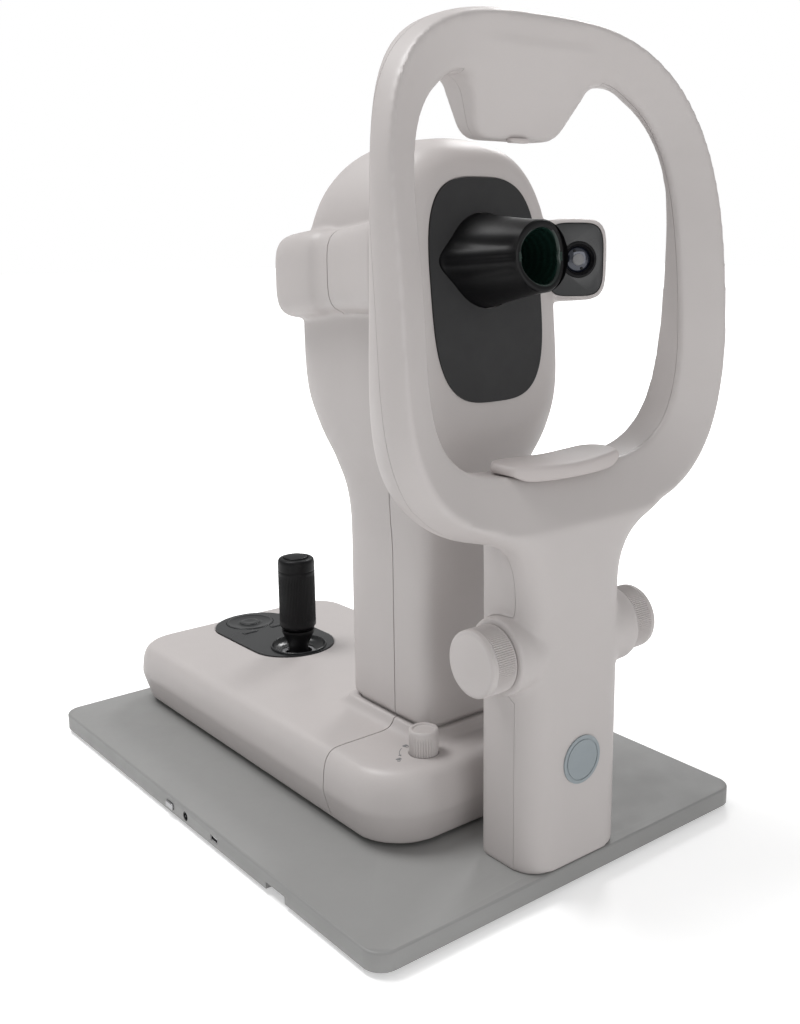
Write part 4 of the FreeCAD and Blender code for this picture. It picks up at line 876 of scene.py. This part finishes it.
# ---------------------------------------------------------------- deck buttons
def on_deck(name, profile, y, seg=96, closed=False):
    """Turned form square to the sloping deck, on its middle line."""
    tilt = math.atan2(-DECK_DROP, BASE_Y1 - BASE_Y0)
    place = Matrix.Translation((0, y, DECK_Z + deck_height(y))) @ Matrix.Rotation(tilt, 4, "X")
    return lathe(name, profile, seg, place, closed=closed)


wheel = fillet([(9.35, -3.0), (20.9, -3.0), (20.9, 1.0), (19.6, 1.35), (17.6, 0.7), (11.4, 0.15),
                (9.35, 0.75)], (0.2, 0.5, 0.4, 0.8, 0.8), 6)
piece(on_deck("nav_ring_body", wheel, NAV_Y, 128, closed=True), "nav_ring", "gloss_black", "nav_ring")
hub = fillet([(0.01, -3.0), (9.0, -3.0), (9.0, 1.1), (6.4, 1.5), (0.01, 0.9)], (0.2, 0.5, 0.8), 6)
piece(on_deck("nav_button_body", hub, NAV_Y), "nav_button", "gloss_black", "nav_button")


def key_cap(name, x):
    loops = []
    for inset, up in ((0.2, -2.9), (0, -2.6), (0, 0.6), (0.2, 1.0), (0.6, 1.25), (1.2, 1.3)):
        flat = round_rect(7.5 - inset, KEY_Y - 2.6 + inset, KEY_Y + 2.6 - inset,
                          2.59 - inset, 2.59 - inset, 8, 4) + np.array([x, 0])
        loops.append(level(flat, DECK_Z + up + deck_height(flat[:, 1])))
    return skin(name, loops)


piece(key_cap("left_key_cap", -14.0), "left_key", "gloss_black", "left_key")
piece(key_cap("right_key_cap", 14.0), "right_key", "gloss_black", "right_key")


# ------------------------------------------------- printed marks by the lock knob
def deck_print(name, outlines):
    """Thin raised marks on the deck from flat outlines, each a list of (x, y)."""
    parts = []
    for flat in outlines:
        flat = np.array(flat, float)
        loops = [level(flat, DECK_Z + up + deck_height(flat[:, 1])) for up in (-0.3, 0.09)]
        parts.append(skin("mark", loops))
    return piece(joined(name, parts), "carriage", "dark_panel", material=ICON)


def band(points, width):
    """Flat outline of a stroke along the points."""
    points = np.array(points, float)
    along = np.gradient(points, axis=0)
    normal = np.column_stack([-along[:, 1], along[:, 0]]) / np.linalg.norm(along, axis=1)[:, None]
    return np.vstack([points + normal * width / 2, (points - normal * width / 2)[::-1]])


def padlock(cx, cy, angle, opened):
    """Simple padlock sign: a rounded body with a shackle, swung to one side when opened."""
    body_shape = round_rect(1.9, -1.5, 1.3, 0.5, 0.5, 3, 2)
    shift = 1.6 if opened else 0.0
    hoop = [(shift + 1.1 * math.cos(a), 1.9 + 1.1 * math.sin(a)) for a in np.linspace(math.pi, 0, 12)]
    hoop = [(shift - 1.1, 1.2)] + hoop + ([] if opened else [(1.1, 1.2)])
    c, s = math.cos(angle), math.sin(angle)
    turn = np.array([[c, -s], [s, c]])
    return [np.array(f) @ turn.T + (cx, cy) for f in (body_shape, band(hoop, 0.55))]


marks = padlock(lock_x - 3.4, lock_y + 16.6, math.pi, False)
marks += padlock(lock_x - 19.6, lock_y + 2.4, math.pi, True)
sweep = [(lock_x + 16.8 * math.cos(a), lock_y + 16.8 * math.sin(a))
         for a in np.linspace(math.radians(118), math.radians(155), 16)]
marks.append(band(sweep, 0.5))
tip = np.array(sweep[-1])
marks.append([tip + (-1.3, 0.3), tip + (-0.2, -2.2), tip + (1.2, 0.3)])
deck_print("lock_marks", marks)


# -------------------------------------------------------- floor, light, camera
def floor_plane():
    """White floor. It glows for the camera, so that it runs into the backdrop, and less for the part."""
    floor = prism("floor", rectangle(9000, -9000, 9000), -20.0, 0.0, axis=2)
    material = bpy.data.materials.new("floor")
    material.use_nodes = True
    tree = material.node_tree
    bsdf = tree.nodes["Principled BSDF"]
    coords = tree.nodes.new("ShaderNodeTexCoord").outputs["Object"]
    cloud = remap(tree, grain(tree, coords, 1.5, 2.0), 0.3, 0.7, 0, 1)
    white = blend_colour(tree, cloud, (0.90, 0.90, 0.90, 1), (0.92, 0.92, 0.92, 1))
    tree.links.new(white, bsdf.inputs["Base Color"])
    bsdf.inputs["Roughness"].default_value = 0.9
    bsdf.inputs["Emission Color"].default_value = (1, 1, 1, 1)
    away = add(tree, "VectorMath")
    away.operation = "LENGTH"
    tree.links.new(coords, away.inputs[0])
    ray = tree.nodes.new("ShaderNodeLightPath").outputs["Is Camera Ray"]
    strength = add(tree, "Math")
    strength.operation = "MULTIPLY"
    tree.links.new(remap(tree, away.outputs["Value"], 0.38, 0.75, 0.36, 1.0), strength.inputs[0])
    tree.links.new(remap(tree, ray, 0, 1, 0.35, 1.0), strength.inputs[1])
    tree.links.new(strength.outputs["Value"], bsdf.inputs["Emission Strength"])
    floor.data.materials.append(material)
    floor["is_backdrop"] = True


def area_light(name, spot, aim, size, power):
    data = bpy.data.lights.new(name, "AREA")
    data.size, data.energy = size, power
    light = bpy.data.objects.new(name, data)
    light.location = spot
    light.rotation_mode = "QUATERNION"
    light.rotation_quaternion = (Vector(aim) - Vector(spot)).to_track_quat("-Z", "Y")
    bpy.context.scene.collection.objects.link(light)


def studio():
    world = bpy.data.worlds.new("studio")
    bpy.context.scene.world = world
    world.use_nodes = True
    tree = world.node_tree
    background = tree.nodes["Background"]
    background.inputs["Color"].default_value = (1, 1, 1, 1)
    ray = tree.nodes.new("ShaderNodeLightPath").outputs["Is Camera Ray"]
    tree.links.new(remap(tree, ray, 0, 1, 0.46, 1.0), background.inputs["Strength"])
    middle = (0.0, -0.02, 0.25)
    area_light("key", (-0.5, 0.6, 2.0), middle, 0.8, 26)
    area_light("back", (1.35, 0.85, 1.5), middle, 0.45, 10)
    area_light("front", (-0.4, -2.0, 0.5), middle, 1.2, 8.5)


floor_plane()
studio()
camera_data = bpy.data.cameras.new("camera")
camera_data.sensor_width, camera_data.lens = 36.0, 41.31
camera_data.shift_x, camera_data.shift_y = -0.0730, -0.0333
camera_data.clip_start, camera_data.clip_end = 0.05, 40.0
camera = bpy.data.objects.new("camera", camera_data)
bpy.context.scene.collection.objects.link(camera)
yaw, pitch = math.radians(CAMERA_YAW), math.radians(CAMERA_PITCH)
camera.location = CAMERA_SPOT
camera.rotation_mode = "QUATERNION"
camera.rotation_quaternion = Vector((math.sin(yaw) * math.cos(pitch), math.cos(yaw) * math.cos(pitch),
                                     -math.sin(pitch))).to_track_quat("-Z", "Y")
bpy.context.scene.camera = camera
bpy.context.scene.view_settings.view_transform = "Standard"

low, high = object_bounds()
